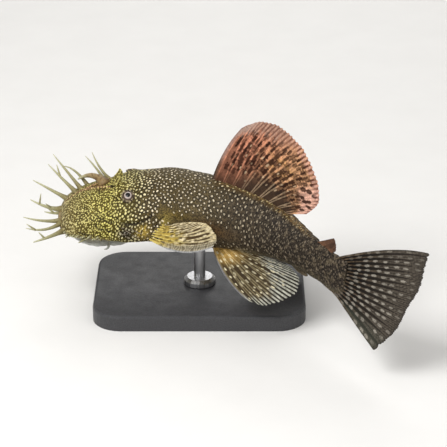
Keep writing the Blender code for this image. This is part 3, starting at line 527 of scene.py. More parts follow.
# Random factors of a spot's size and length, its tone, and how far it turns up to a last station
SPOT_SIZE, SPOT_LENGTH, SPOT_TONE = (0.72, 1.2), (0.95, 1.3), (0.55, 1.0)
SPOT_TURN, SPOT_TURN_END = 1.5, 55
BELLY_GROUND, BELLY_SPOT = (150, 138, 108), (188, 178, 150)
# The raised line round the snout's bristly top, as (station, share across), with its size
RIM_LINE = [(2, 0.0), (8, 0.01), (12, 0.045), (15, 0.085), (17.5, 0.10)]
RIM_WIDTH, RIM_RISE = 0.36, 0.35
# How far the skin's unevenness and its spots stand out
UNEVEN_RISE, SPOT_RISE = 0.10, 0.04
# Places without spots: (station, share across, spread along, spread across)
BARE_PLACES = [(36.4, 0.40, 3.2, 0.045), (42.2, 0.435, 4.5, 0.045)]
BARE_PLACES += [(49, 0.48, 4.5, 0.055), (55, 0.51, 4.5, 0.06), (61, 0.56, 4.5, 0.055)]
# Grooves of the head's left and right, as places (station, share across) with their depth and width
GROOVES = [
    ([(20.5, 0.465), (23.5, 0.475), (26.5, 0.475), (29.5, 0.455), (32.0, 0.42)], 0.45, 0.42),
    ([(11.5, 0.36), (13.5, 0.41), (16.0, 0.445), (18.5, 0.455)], 0.22, 0.34),
    ([(11.0, 0.45), (13.0, 0.50), (15.5, 0.525)], 0.22, 0.32),
    ([(14.5, 0.50), (16.5, 0.53), (18.5, 0.535)], 0.20, 0.30),
    ([(6.0, 0.53), (8.0, 0.555), (10.5, 0.565), (13.0, 0.60)], 0.22, 0.34),
    ([(31.4, 0.60), (32.4, 0.53), (34.4, 0.455), (36.6, 0.41)], 0.35, 0.34),
]


def colour_along(stops, station):
    """Colours along the fish, smooth between the given stations."""
    at = [stop[0] for stop in stops]
    colours = np.array([light(stop[1]) for stop in stops])
    return np.stack([np.interp(station, at, colours[:, k]) for k in range(3)], -1)


def naked_rim(station, across):
    """1 on the bare, spotless rim of the snout that carries the bristles."""
    front = ramp(1.2, 0.5, station)
    side = ramp(0.58, 0.63, across) * ramp(0.74, 0.68, across) * ramp(19, 13, station)
    return np.maximum(front, side)


def cheek_place(station, across):
    """1 in the dark hollow of the cheek, where its spines stand and its pale spots are partly painted
    glints.
    """
    return hump(station, 23.0, 3.2) * hump(across, 0.545, 0.05)


def groove_field(station, across, girths):
    """How deep the grooves of the head run, and 1 on their lines."""
    depth, line = np.zeros(station.shape), np.zeros(station.shape)
    for stops, deep, width in GROOVES:
        at, share = np.array(stops).T
        middle = np.interp(station, at, share)
        ends = ramp(at[0] - 0.6, at[0] + 1.2, station) * ramp(at[-1] + 0.6, at[-1] - 1.2, station)
        here = hump((across - middle) * girths, 0, width) * ends
        depth = np.maximum(depth, deep * here)
        line = np.maximum(line, here)
    return depth, line


class Skin:
    """The one skin of head, trunk and tail: a grid of stations by signed shares across."""

    def __init__(self):
        near = SNOUT_FINE_END * (np.arange(1, SNOUT_RINGS + 1) / SNOUT_RINGS) ** 2
        head = np.arange(SNOUT_FINE_END + HEAD_FINE, PLATE_FIRST, HEAD_FINE)
        rest = np.arange(PLATE_FIRST, FOOT_END + TRUNK_FINE / 2, TRUNK_FINE)
        self.stations = np.concatenate([near, head, rest])
        self.signed = np.linspace(-1, 1, 2 * ACROSS_STEPS + 1)[1:]
        column = np.rint(np.abs(self.signed) * ACROSS_STEPS).astype(int)
        mirror = np.stack([np.where(self.signed < 0, -1.0, 1.0), np.ones(len(self.signed))], 1)
        half = np.linspace(0, 1, ACROSS_STEPS + 1)
        sections = [along_section(station, half) for station in self.stations]
        self.places = np.array([here[column] * mirror for here, _, _ in sections])
        self.normals = np.array([normal[column] * mirror for _, normal, _ in sections])
        self.girths = np.array([girth for _, _, girth in sections])[:, None]
        self.station = np.repeat(self.stations[:, None], len(self.signed), axis=1)
        self.across = np.repeat(np.abs(self.signed)[None, :], len(self.stations), axis=0)
        self.arc = self.signed * self.girths

    def waves(self, size, seed):
        return waves(self.station, self.arc, size, seed)

    def patch(self, station, along, across, aside):
        """A soft patch round a station and a share across, with its spread along and across."""
        return hump(self.station, station, along) * hump(self.across, across, aside)

    def off_line(self, across):
        """How far the points are from a line along the fish, measured round the body."""
        return (self.across - across) * self.girths

    def scatter_spots(self):
        """Finds how deep every point lies in a pale spot, and the tone of that spot."""
        rng = np.random.default_rng(11)
        self.depth, self.tone = np.full(self.station.shape, -1.0), np.zeros(self.station.shape)

        def girth(at):
            return np.interp(at, self.stations, self.girths[:, 0])

        def spacing(u, v):
            gap, stretch = float(SPOT_SPACING(u)), float(SPOT_STRETCH(u)) ** 0.5
            return gap / stretch, gap * stretch

        for u, v in scatter(rng, SPOT_TRIES, (SPOT_FIRST, FOOT_END), girth, spacing):
            share = v / girth(u)
            across = abs(share)
            bare = max(hump(u, s, a) * hump(across, c, b) for s, c, a, b in BARE_PLACES)
            if rng.uniform() < 1.5 * bare or naked_rim(u, across) > 0.5:
                continue
            half = float(SPOT_SPACING(u) * SPOT_FILL(u)) * rng.uniform(*SPOT_SIZE) * (1 - 0.3 * bare)
            stretch = float(SPOT_STRETCH(u)) ** 0.5 * rng.uniform(*SPOT_LENGTH)
            turn = rng.normal(0, 0.2)
            if u <= SPOT_TURN_END:
                turn += rng.uniform(-SPOT_TURN, SPOT_TURN)
            bright = rng.uniform(*SPOT_TONE)
            bright *= (1 - 0.25 * ramp(64, 74, u)) * (1 - 0.35 * ramp(76, 88, u))
            # In the cheek the spots are partly whitish spine tips and partly painted glints, of uneven size
            # and brightness
            cheek = cheek_place(u, across)
            half *= 1 + cheek * rng.uniform(-0.5, 0.8)
            bright *= 1 - cheek * rng.uniform(0, 0.9)
            row = min(int(np.searchsorted(self.stations, u)), len(self.stations) - 1)
            col = min(int(np.searchsorted(self.signed, share)), len(self.signed) - 1)
            spot = (u, v, half / stretch, half * stretch, turn, bright)
            stamp(self.depth, self.tone, self.station, self.arc, row, col, spot)

    def relief(self):
        """How far the skin stands out. The fields that its colours need as well are kept."""
        station, across = self.station, self.across
        plates, self.rear_edge = scutes(station, across)
        groove, self.groove_shade = groove_field(station, across, self.girths)
        from_eye = np.hypot(station - EYE_STATION, self.off_line(EYE_ACROSS))
        self.from_nostril = np.hypot(station - NOSTRIL_STATION, self.off_line(NOSTRIL_ACROSS))
        self.rim_across = np.interp(station, *np.transpose(RIM_LINE))
        self.rim_line = hump(self.off_line(self.rim_across), 0, RIM_WIDTH)
        self.rim_line *= ramp(1.0, 2.5, station) * ramp(17.5, 15.5, station)
        lift = plates + brow_relief(station, across) + RIM_RISE * self.rim_line - groove
        lift -= SOCKET_DEPTH * ramp(SOCKET_RADIUS + 0.4, SOCKET_RADIUS, from_eye)
        lift -= NOSTRIL_DEPTH * ramp(NOSTRIL_RADIUS + 0.1, 0.3, self.from_nostril)
        lift += UNEVEN_RISE * self.waves(5.0, 3) * ramp(2, 8, station)
        lift += SPOT_RISE * np.clip(self.depth, 0, 1) * ramp(2, 6, station)
        return lift

    def lay(self, share, ground=None, marks=None):
        """Tints the ground between the spots, or the marks in them, or both."""
        if ground is not None:
            self.ground = blend(self.ground, ground, share)
        if marks is not None:
            self.marks = blend(self.marks, marks, share)

    def paint(self):
        """Colours the ground between the spots and the marks in them, from snout to tail."""
        station, across = self.station, self.across
        self.ground = colour_along(GROUND_COLOURS, station)
        self.marks = colour_along(SPOT_COLOURS, station)
        uneven = 1 + 0.16 * self.waves(7.0, 5) + 0.10 * self.waves(2.4, 6)
        # A dark halo round each spot
        halo = ramp(-0.9, -0.15, self.depth) * ramp(0.1, -0.1, self.depth) * ramp(4, 20, station)
        halo *= 0.45 + 0.4 * ramp(20, 30, station)
        self.ground = self.ground * (uneven * (1 - halo))[..., None]

        # The bare brown top of the snout, the pale belly, and the snout's rim and raised line
        top = ramp(0.005, -0.01, across - self.rim_across)
        top *= ramp(2, 4, station) * ramp(16, 13, station)
        bare = np.maximum(top, 0.75 * self.patch(13.5, 2.6, self.rim_across + 0.035, 0.022))
        self.lay(0.85 * bare, ground=(70, 48, 26))
        self.lay(0.8 * bare, marks=(132, 98, 56))
        below = ramp(0.68, 0.82, across + 0.03 * self.waves(4.0, 7))
        self.lay(below * (1 - 0.85 * ramp(62, 76, station)), BELLY_GROUND, BELLY_SPOT)
        self.lay(0.85 * naked_rim(station, across), ground=(150, 126, 84))
        self.lay(self.rim_line * (0.45 + 0.35 * ramp(6, 10, station)), (156, 118, 94), (178, 146, 114))

        # The cheek's dark hollow, whose pale spots are partly whitish spine tips and partly painted glints,
        # and the golden places behind it and by the pectoral fin
        cheek = cheek_place(station, across)
        self.lay(0.9 * cheek, ground=(30, 25, 17))
        self.lay(0.8 * cheek, marks=(164, 158, 158))
        orange = self.patch(28.8, 2.3, 0.54, 0.045) * (1 + 0.9 * self.waves(1.9, 15))
        self.lay(np.clip(0.75 * orange, 0, 0.85), ground=(172, 146, 66))
        self.lay(np.clip(0.7 * orange, 0, 0.8), marks=(212, 186, 104))
        self.lay(0.6 * self.patch(40, 6, 0.40 + 0.004 * (station - 38), 0.035), ground=(92, 76, 28))
        self.lay(0.75 * self.patch(54, 7, 0.47 + 0.007 * (station - 49), 0.06), ground=(84, 61, 34))
        self.lay(0.8 * self.patch(36.4, 1.7, 0.45, 0.045), ground=(146, 128, 62))

        # The ridge of the back, the rear edges of the tail's plates, and patches at the tail root
        ridge = hump(across, 0.03, 0.045) * ramp(46, 56, station) * ramp(90, 80, station)
        self.lay(0.8 * ridge * np.clip(0.6 + 0.6 * self.waves(1.3, 29), 0, 1), ground=(136, 108, 66))
        self.lay(0.85 * ridge, marks=(206, 192, 138))
        streaks = self.rear_edge * ramp(56, 70, station) * np.clip(0.5 + 0.8 * self.waves(1.6, 9), 0, 1)
        self.lay(0.55 * streaks, ground=(132, 118, 96))
        patches = ramp(0.2, 0.7, self.waves(3.2, 39)) * ramp(84, 96, station)
        self.lay(0.35 * patches, ground=(108, 96, 76))

        # Painted shade in the grooves and nostrils, where the spots fade
        nostril = ramp(1.0, 0.5, self.from_nostril)
        self.lay(0.8 * self.groove_shade, ground=(26, 20, 12))
        self.lay(0.9 * nostril, ground=(22, 17, 10))
        self.tone *= (1 - 0.9 * self.groove_shade) * (1 - nostril)

    def add_to(self, shells):
        """Adds the closed skin with its fields."""
        self.scatter_spots()
        flesh = self.places + self.normals * self.relief()[..., None]
        self.paint()
        grid = np.concatenate([self.station[..., None], flesh], axis=2)
        around = len(self.signed)
        points, faces = capped(grid.reshape(-1, 3), around, grid[[0, -1]].mean(axis=1))
        fields = {"ground": self.ground, "marks": self.marks, "spots": self.depth, "tone": self.tone}
        for name, field in fields.items():
            flat = field.reshape(len(self.stations) * around, *field.shape[2:])
            fields[name] = np.concatenate([flat, flat[:1], flat[-1:]])
        shells.add(points, faces, **fields)


def lid_shell(side, turns=64, sides=14):
    """A raised ring round the eye."""
    centre, ahead, first, second = eye_axes(side)
    rings = [
        ring(centre + ahead * LID_OUT + out * LID_RADIUS, out * LID_THICKNESS, ahead * LID_THICKNESS, sides)
        for out in ring((0, 0, 0), first, second, turns)
    ]
    points = bend(np.concatenate(rings))
    return points, turned_out(points, loft_faces(turns, sides, closed=True))


def mouth(turns=120, steps=40):
    """The round sucker lips under the snout, with a barbel where they meet on each side."""
    shells, lip, notch = Shells(), light(LIP_COLOUR), math.radians(MOUTH_NOTCH_DEG)
    share, up = smooth_path(MOUTH_PROFILE, np.linspace(0, 1, steps)).T[..., None]
    turn = 2 * math.pi * np.arange(turns) / turns
    off_notch = notch - np.abs(np.arctan2(np.sin(turn), np.cos(turn)))
    reach = share * (1 - MOUTH_NOTCH * hump(off_notch, 0, MOUTH_NOTCH_SPREAD))
    bumps = MOUTH_BUMP * np.sin(22 * turn) * np.sin(9 * share * math.pi)
    ahead, left = MOUTH_STATION - MOUTH_ALONG * reach * np.cos(turn), MOUTH_ACROSS * reach * np.sin(turn)
    rings = np.stack([ahead, left, up + bumps], axis=2)
    points, faces = capped(rings.reshape(-1, 3), turns, rings[[0, -1]].mean(axis=1))
    shells.add(points, faces, ground=lip)
    for side in SIDES:
        left = side * MOUTH_ACROSS * BARBEL_IN
        root = np.array((MOUTH_STATION - MOUTH_ALONG * math.cos(notch), left, MOUTH_PROFILE[2][1]))
        reach = np.array(BARBEL_REACH) * (1, side, 1)
        path = sunk(bowed(root, reach, BARBEL_BOW, 14), BARBEL_SINK)
        points, faces, _ = tube_shell(path, np.linspace(*BARBEL_RADII, len(path)), 12)
        shells.add(points, faces, ground=lip)
    return shells


def small_parts(shells):
    """Lids and nostril flaps, which grow out of the skin."""
    for side in SIDES:
        points, faces = lid_shell(side)
        x, _, z = points.T / UNIT
        marks = ramp(-0.3, 0.3, waves(x, z, 0.75, 47))
        shells.add_plain(points, faces, blend((58, 46, 34), (158, 144, 112), marks))
        root = skin_place(FLAP_STATION, FLAP_ACROSS, side)
        reach = np.array(FLAP_REACH) * (1, side, 1)
        path = sunk(bowed(root, reach, FLAP_BOW, 14), FLAP_SINK)
        radii = FLAP_RADIUS * (1 - np.linspace(0, 1, len(path)) ** 2.4) + FLAP_EDGE
        points, faces, along = tube_shell(path, radii, 24, narrow=FLAP_FLAT)
        x, _, z = points.T / UNIT
        dots = ramp(-0.1, 0.35, waves(x, z, 0.8, 19))
        pale = np.maximum(dots, 0.7 * ramp(0.6, 1, along))
        shells.add_plain(points, faces, blend((96, 84, 40), (204, 194, 120), pale))


def tapered(root, reach, bow, radius, tip, steps, sides, sink, flare=0.0):
    """A soft tapering tube from the skin."""
    path = bowed(root, reach, bow, steps)
    share = np.linspace(0, 1, steps + 1)
    radii = radius * ((1 - share) ** 0.75 * (1 - tip) + tip) + radius * flare * np.exp(-share * 9)
    return tube_shell(sunk(path, sink), np.concatenate([[radii[0]], radii]), sides)


def bristle_colour(points, along, thick):
    """Olive at the foot, paler to the tip, with dark freckles. A thick bristle is browner."""
    colour = blend((124, 114, 74), (150, 146, 108), ramp(0, 0.4, along))
    colour = blend(colour, (178, 176, 144), ramp(0.4, 1, along))
    if thick:
        colour = blend(colour, (138, 110, 74), 0.7 * ramp(1, 0.5, along))
    x, y, z = points.T / UNIT
    dark = ramp(-0.2, 0.4, waves(x + y, z - y, 1.2, 23)) * (1 - along)
    return blend(colour, (84, 58, 36), dark * (THICK_FRECKLED if thick else THIN_FRECKLED))


def bristles():
    """The long soft bristles of the snout, and the small ones along its edge."""
    shells = Shells()

    def add(thick, *place, **form):
        points, faces, along = tapered(*place, **form)
        shells.add(points, faces, ground=bristle_colour(points, along, thick))

    for number, (station, across, reach, bow, radius) in enumerate(BRISTLES):
        root = skin_place(station, abs(across), -1 if across < 0 else 1)
        thick = radius > THICK_BRISTLE
        radius = radius if thick else radius * BRISTLE_FINE
        add(thick, root, reach, bow, radius, tip=BRISTLE_TIP, steps=26, sides=14, sink=BRISTLE_SINK,
            flare=BRISTLE_FLARE)
        for parent, at, branch_reach in BRANCHES:
            if parent == number:
                fork = root + at * np.array(reach) + 4 * at * (1 - at) * np.array(bow)
                add(False, fork, branch_reach, (0, 0, 0), BRANCH_RADIUS, tip=BRANCH_TIP, steps=12,
                    sides=10, sink=BRANCH_SINK)
    rng = np.random.default_rng(5)
    for side in SIDES:
        for share in np.linspace(0, 1, EDGE_BRISTLES):
            station = EDGE_FIRST + EDGE_LENGTH * share + rng.uniform(-0.2, 0.2)
            length = rng.uniform(0.8, 1.8) * (1 - 0.4 * share)
            reach = (-0.6 * length, 0.7 * side * length, -0.2 * length)
            root = skin_place(station, EDGE_ACROSS + rng.uniform(-0.03, 0.03), side)
            add(False, root, reach, (0, 0, 0.1), EDGE_RADIUS, tip=0.3, steps=8, sides=8, sink=0.8,
                flare=0.4)
    return shells


def cheek_spines():
    """The hooked spines that fold back behind each cheek."""
    shells = Shells()
    rng = np.random.default_rng(8)
    for side in SIDES:
        for k, share in enumerate(np.linspace(0, 1, SPINES)):
            across = SPINES_ACROSS + SPINES_SPREAD * ((k * GOLDEN_SHARE) % 1.0)
            length, drop = rng.uniform(0.8, 1.9), rng.uniform(-0.6, 0.3)
            reach = (0.85 * length, 0.35 * side * length, drop * length)
            root = skin_place(SPINES_FIRST + SPINES_LENGTH * share, across, side)
            points, faces, along = tapered(root, reach, (0, 0.2 * side, 0.1), SPINE_RADIUS, tip=0.25,
                                           steps=8, sides=8, sink=0.4)
            shells.add(points, faces, ground=blend((74, 60, 40), (158, 146, 124), along))
    return shells


def eyeball(side, around=56, steps=40):
    """One eyeball: a pale ring round a dark pupil."""
    centre, ahead, first, second = eye_axes(side)
    tilts = math.pi * np.arange(1, steps) / steps
    rings = []
    for tilt in tilts:
        across = EYE_RADIUS * math.sin(tilt)
        middle = centre + ahead * EYE_RADIUS * math.cos(tilt)
        rings.append(ring(middle, first * across, second * across, around))
    ends = [centre + ahead * EYE_RADIUS, centre - ahead * EYE_RADIUS]
    points, faces = capped(np.concatenate(rings), around, ends)
    tilts = np.concatenate([np.repeat(tilts, around), [0, math.pi]])
    reach = EYE_RADIUS * np.sin(np.minimum(tilts, math.pi / 2))
    iris = blend((184, 170, 162), (82, 66, 58), ramp(1.10, 1.34, reach))
    colour = blend((8, 7, 9), iris, ramp(0.78, 0.90, reach))
    colour = blend(colour, (96, 84, 64), ramp(1.45, 1.65, reach))
    shells = Shells()
    shells.add(points, faces, ground=colour)
    return shells


class Fin:
    """A fin's sheet: its grid on the curved fish, its rays, its flat places in mm and its colour."""

    def __init__(self, root, tips, rays, rows, cols, bows=((0, 0, 0), (0, 0, 0)), held=None,
                 split=(0.5, 0.8), ray_width=0.30, whole_rays=(0,), notch=1.0, thin=0.62):
        self.rays, self.spacing = rays, 1 / (rays - 1 + 2 * RAY_INSET)
        self.share = np.repeat(np.linspace(0, 1, cols)[None, :], rows, axis=0)
        self.down = np.repeat(np.linspace(0, 1, rows)[:, None], cols, axis=1)
        self.ray = self.ray_crests(split, ray_width, thin, whole_rays)
        line = self.share[0]
        foot, rim, bow = smooth_path(root, line), smooth_path(tips, line), smooth_path(bows, line)
        scallop = 0.5 * (1 - self.ray[-1]) + 0.3 * (1 - self.main_ray(line))
        scallop = scallop * notch * FIN_SCALLOP * (1 + 0.6 * waves(line * rays, line, 2.3, 71))
        reach = (self.down * (1 - scallop[None, :]))[:, :, None]
        grid = foot + (rim - foot) * reach + 4 * reach * (1 - reach) * bow
        self.grid = bend(grid.reshape(-1, 3), held).reshape(rows, cols, 3)
        self.along, self.over = self.lengths(0), self.lengths(1)

    def lengths(self, axis):
        """How far each point is along its line of the grid, in mm."""
        step = np.linalg.norm(np.diff(self.grid, axis=axis), axis=2) / UNIT
        start = np.zeros_like(self.share.take([0], axis=axis))
        return np.concatenate([start, np.cumsum(step, axis=axis)], axis=axis)

    def waves(self, size, seed, along=1.0):
        """Unevenness over the fin, drawn out along the rays by a factor below 1."""
        return waves(self.along * along, self.over, size, seed)

    def middle(self, ray):
        """The share of a ray's middle line."""
        return (ray + RAY_INSET) * self.spacing

    def main_ray(self, line):
        """1 on the lines of the whole rays, 0 half way between them."""
        off = np.abs((line / self.spacing - RAY_INSET + 0.5) % 1.0 - 0.5)
        return ramp(0.5, 0, off)

    def ray_crests(self, split, ray_width, thin, whole_rays):
        """How much of a ray's crest a point has; rays split in four, which are thinner by a share."""
        crest = np.zeros(self.share.shape)
        for ray in range(self.rays):
            whole = ray in whole_rays
            signs = [(0, 0)] if whole else [(a, b) for a in (-1, 1) for b in (-1, 1)]
            for first, second in signs:
                apart = 0.25 * first * ramp(split[0], 1.0, self.down)
                apart = apart + 0.13 * second * ramp(split[1], 1.0, self.down)
                off = (self.share - self.middle(ray)) / self.spacing - apart
                narrow = 1 if whole else 1 - thin * ramp(split[0], split[0] + 0.3, self.down)
                here = np.clip(1 - (off / (ray_width * narrow)) ** 2, 0, 1) ** 0.5
                crest = np.maximum(crest, here)
        return crest

    def scattered(self, rng, tries, gaps, ranges, fits):
        """Places (down, share) at random that fit, each with a random number from each range.

        The gaps are the least lengths between places along and over the rays.
        """
        length = self.along[-1].mean()
        rows = np.linspace(0, length, len(self.over))

        def half_width(u):
            return float(np.interp(u, rows, self.over[:, -1])) / 2

        places = scatter(rng, tries, (0, length), half_width, lambda u, v: gaps)
        places = [(u / length, 0.5 + v / (2 * half_width(u))) for u, v in places]
        return [(*place, *(rng.uniform(*span) for span in ranges)) for place in places if fits(*place)]

    def marks(self, spots, edge=0.35, ragged=0.0):
        """The tones of spots with soft edges, where each is (down, share, half length, half width, tone)."""
        depth, tone = np.full(self.share.shape, -1.0), np.zeros(self.share.shape)
        rows, cols = self.share.shape
        for down, share, half_u, half_v, bright in spots:
            row = int(np.clip(round(down * (rows - 1)), 0, rows - 1))
            col = int(np.clip(round(share * (cols - 1)), 0, cols - 1))
            spot = (self.along[row, col], share, half_u, half_v, 0.0, bright)
            stamp(depth, tone, self.along, self.share, row, col, spot, width=self.over[row, -1])
        return tone * ramp(0, edge, depth + ragged)

    def lay(self, colour, share):
        """Tints the fin with a colour or a colour field, by a field of shares."""
        self.colour = blend(self.colour, colour, share)

    def object(self, name, material, spine=0.0, ripple=0.0):
        """The closed sheet as an object, with its rays raised on both faces."""
        rows, cols = self.share.shape
        normal = np.cross(np.gradient(self.grid, axis=0), np.gradient(self.grid, axis=1))
        normal /= np.linalg.norm(normal, axis=2)[:, :, None]
        thinning = 1 - THINS_BY * self.down
        thick = MEMBRANE + (self.ray * RAY_RISE + spine * np.exp(-self.share / SPINE_WIDTH)) * thinning
        thick = thick + FOOT_THICKENS * ramp(0.16, 0.0, self.down)
        thick[-1] *= 0.4
        wave = ripple * UNIT * np.sin(self.share * self.rays * math.pi) * self.down
        grid = self.grid + normal * wave[:, :, None]
        offset = normal * thick[:, :, None]
        points = np.concatenate([(grid + offset).reshape(-1, 3), (grid - offset).reshape(-1, 3)])
        colours = {"ground": np.tile(self.colour.reshape(-1, 3), (2, 1))}
        return colour_object(name, points, sheet_faces(rows, cols), colours, material)


def sheet_faces(rows, cols):
    """Quads of a closed sheet: two faces of rows by cols points, and the rim between them."""
    faces, under = [], rows * cols
    for r in range(rows - 1):
        for c in range(cols - 1):
            a = r * cols + c
            faces.append((a, a + cols, a + cols + 1, a + 1))
            faces.append((under + a, under + a + 1, under + a + cols + 1, under + a + cols))
    rim = list(range(cols))
    rim += [r * cols + cols - 1 for r in range(1, rows)]
    rim += [(rows - 1) * cols + c for c in range(cols - 2, -1, -1)]
    rim += [r * cols for r in range(rows - 2, 0, -1)]
    for here, there in zip(rim, rim[1:] + rim[:1]):
        faces.append((here, there, under + there, under + here))
    return faces


def root_line(surface, base, count, sink):
    """A fin's foot in the middle plane, along the back or the belly, sunk into the body."""
    return [(station, 0.0, surface(station) + sink) for station in np.linspace(*base, count)]


def mirrored(points, side):
    """Points of the left for the given side."""
    return [(station, left * side, up) for station, left, up in points]


def dorsal_fin(material):
    """The tall back fin: salmon and tan, blotched dark brown, greyer at its foot and paler at its rim."""
    root = root_line(BACK, DORSAL_BASE, 5, -ROOT_SINK)
    fin = Fin(root, DORSAL_TIPS, rays=9, rows=200, cols=320, bows=DORSAL_BOWS, split=(-0.6, 0.3),
              ray_width=0.19, thin=0.60, notch=0.8)
    rng = np.random.default_rng(21)
    down, share = fin.down, fin.share
    crest = ramp(0.15, 0.8, fin.ray) * np.clip(0.85 + 0.35 * fin.waves(1.3, 27, 0.5), 0.3, 1)
    streaks = ramp(-0.3, 0.8, fin.waves(1.1, 8, 0.3))
    low_edge = 0.17 + 0.22 * ramp(0.1, 0.8, share) + 0.04 * fin.waves(3, 2)
    low = ramp(0.12, -0.14, down - low_edge)
    tip = ramp(0.72, 0.88, down + 0.06 * fin.waves(1.2, 28, 0.3)) * ramp(0.52, 0.30, share)
    lobe = ramp(0.68, 0.80, share) * ramp(0.50, 0.66, down)
    rim = ramp(0.86, 0.94, down) * ramp(0.30, 0.5, share)

    # The skin between the rays is darker than their crests, and golden in the fin's middle
    skin = blend((192, 128, 100), (196, 147, 108), ramp(0.2, 0.6, share))
    skin = blend(skin, (206, 160, 140), lobe)
    gold = hump(share, 0.52, 0.16) * hump(down, 0.56, 0.14) * ramp(-0.3, 0.5, fin.waves(3.4, 61))
    skin = blend(skin, (190, 142, 72), 0.5 * gold) * (1 - 0.32 * streaks * (1 - lobe))[..., None]
    shade = (0.46 + 0.30 * ramp(0.62, 0.8, down) + 0.12 * lobe)[..., None]
    fin.colour = blend(shade * skin, 1.25 * skin, crest)

    # Long dark blotches between foot and rim, and round ones in the rear lobe
    def in_middle(at, place):
        in_lobe = at > 0.60 and place > 0.72
        within = 0.14 + 0.22 * place <= at <= min(0.75 + 0.28 * place, 0.93)
        return within and 0.08 <= place <= 0.94 and not in_lobe

    def in_rear(at, place):
        return 0.60 < at < 0.94 and 0.72 < place < 0.95

    blotches = fin.scattered(rng, 12000, (2.5, 1.2), [(1.4, 2.3), (0.6, 1.0), (0.75, 1)], in_middle)
    round_ones = fin.scattered(rng, 4000, (2.7, 2.5), [(1.0, 1.5), (0.9, 1.3)], in_rear)
    blotches += [(*spot, 0.95) for spot in round_ones]
    dark = fin.marks(blotches, 0.25, 0.32 * fin.waves(0.9, 17, 0.7) * (1 - 0.7 * lobe))
    fin.lay((38, 12, 3), dark * (0.98 - 0.2 * crest * (1 - lobe)))

    # The foot, the rear rim, the pale tip, small dots and the stiff front spine
    foot = blend((44, 34, 27), (136, 120, 98), crest * (0.4 + 0.6 * ramp(0.3, 0.6, share)))
    foot = blend(foot, (84, 54, 38), 0.6 * ramp(0.45, 0.2, share))
    fin.lay(foot, 0.9 * low)
    uneven = np.clip(0.75 + 0.35 * fin.waves(2.4, 26, 0.4), 0.2, 1)
    fin.lay(blend((92, 50, 40), (208, 160, 144), crest), 0.9 * rim * uneven)
    pale = blend((112, 80, 68), (182, 148, 128), crest * (1 - 0.5 * streaks))
    pale = blend(pale, (176, 154, 142), 0.7 * ramp(0.2, 0.08, share))
    fin.lay(pale, 0.85 * tip)
    dots = fin.scattered(rng, 4000, (3.4, 2.3), [(0.5, 1.1), (0.28, 0.42), (0.2, 0.9)],
                         lambda at, place: 0.14 < at < 0.60 and 0.10 < place < 0.88)
    fin.lay((196, 170, 138), 0.85 * fin.marks(dots))
    spine = blend((58, 50, 42), (146, 122, 112), ramp(0.25, 0.5, down))
    fin.lay(spine, 0.8 * ramp(0.06, 0.02, share))
    return fin.object("dorsal_skin", material, spine=0.0003, ripple=0.12)


def caudal_fin(material):
    """The tail fin: brown rays in dark skin, crossed by arcs of pale spots on the rays."""
    station = BODY_END - CAUDAL_SINK
    heights = np.linspace(BACK(station) - CAUDAL_SINK, BELLY(station) + CAUDAL_SINK, 4)
    root = [(station, 0.0, up) for up in heights]
    fin = Fin(root, CAUDAL_TIPS, rays=CAUDAL_RAYS, rows=180, cols=340, bows=CAUDAL_BOWS,
              split=(0.02, 0.5), ray_width=0.36, whole_rays=(0, CAUDAL_RAYS - 1), notch=0.8, thin=0.66)
    rng = np.random.default_rng(31)
    down, share = fin.down, fin.share
    web = blend((14, 10, 8), (36, 31, 26), ramp(0.15, 0.7, down))
    ray = blend((88, 73, 56), (86, 79, 70), ramp(0.1, 0.7, down))
    fine = 0.75 + 0.4 * fin.waves(0.9, 37, 0.6)
    fin.colour = blend(web, ray, np.clip(0.85 * ramp(0.2, 0.95, fin.ray) * fine, 0, 1))
    foot = ramp(0.085, 0.02, down - 0.05 * np.sin(share * math.pi))
    fin.lay((98, 86, 68), 0.8 * foot * ramp(-0.5, 0.3, fin.waves(1.1, 35)))
    fin.lay((66, 70, 60), 0.4 * ramp(0.84, 0.97, share) * ramp(0.1, 0.4, down))
    fin.lay((50, 46, 42), 0.5 * ramp(0.94, 1.0, down))
    spots = []
    for number in range(CAUDAL_RAYS):
        drift = 0.02 * math.sin(number * 2.1) - 0.00042 * (number - CAUDAL_RAYS // 2) ** 2
        for k in range(CAUDAL_ARCS):
            at = 0.15 + 0.112 * k + drift + rng.uniform(-0.014, 0.014)
            bright = rng.uniform(0.6, 1.0)
            if k in (0, CAUDAL_ARCS - 1) or number < 2:
                bright *= 0.5
            place = fin.middle(number) + rng.uniform(-0.12, 0.12) * fin.spacing
            if rng.uniform() > 0.07:
                spots.append((at, place, rng.uniform(0.95, 1.4), rng.uniform(0.5, 0.64), bright))
    marks = fin.marks(spots, 0.4, 0.18 * fin.waves(0.8, 36))
    fin.lay((144, 138, 127), 0.95 * marks * (0.7 + 0.3 * ramp(0.2, 0.4, down)))
    return fin.object("caudal_skin", material, spine=0.0002)


def small_fin(name, root, tips, rays, size, foot, tip, material, spine):
    """A small fin of a size in grid points, with one colour at its foot and one at its tip."""
    fin = Fin(root, tips, rays, size, size)
    shade = (0.72 + 0.5 * ramp(0.2, 0.9, fin.ray)) * (1 + 0.25 * fin.waves(1.2, rays))
    fin.colour = blend(foot, tip, ramp(0.1, 0.9, fin.down)) * shade[..., None]
    return fin.object(name, material, spine=spine)


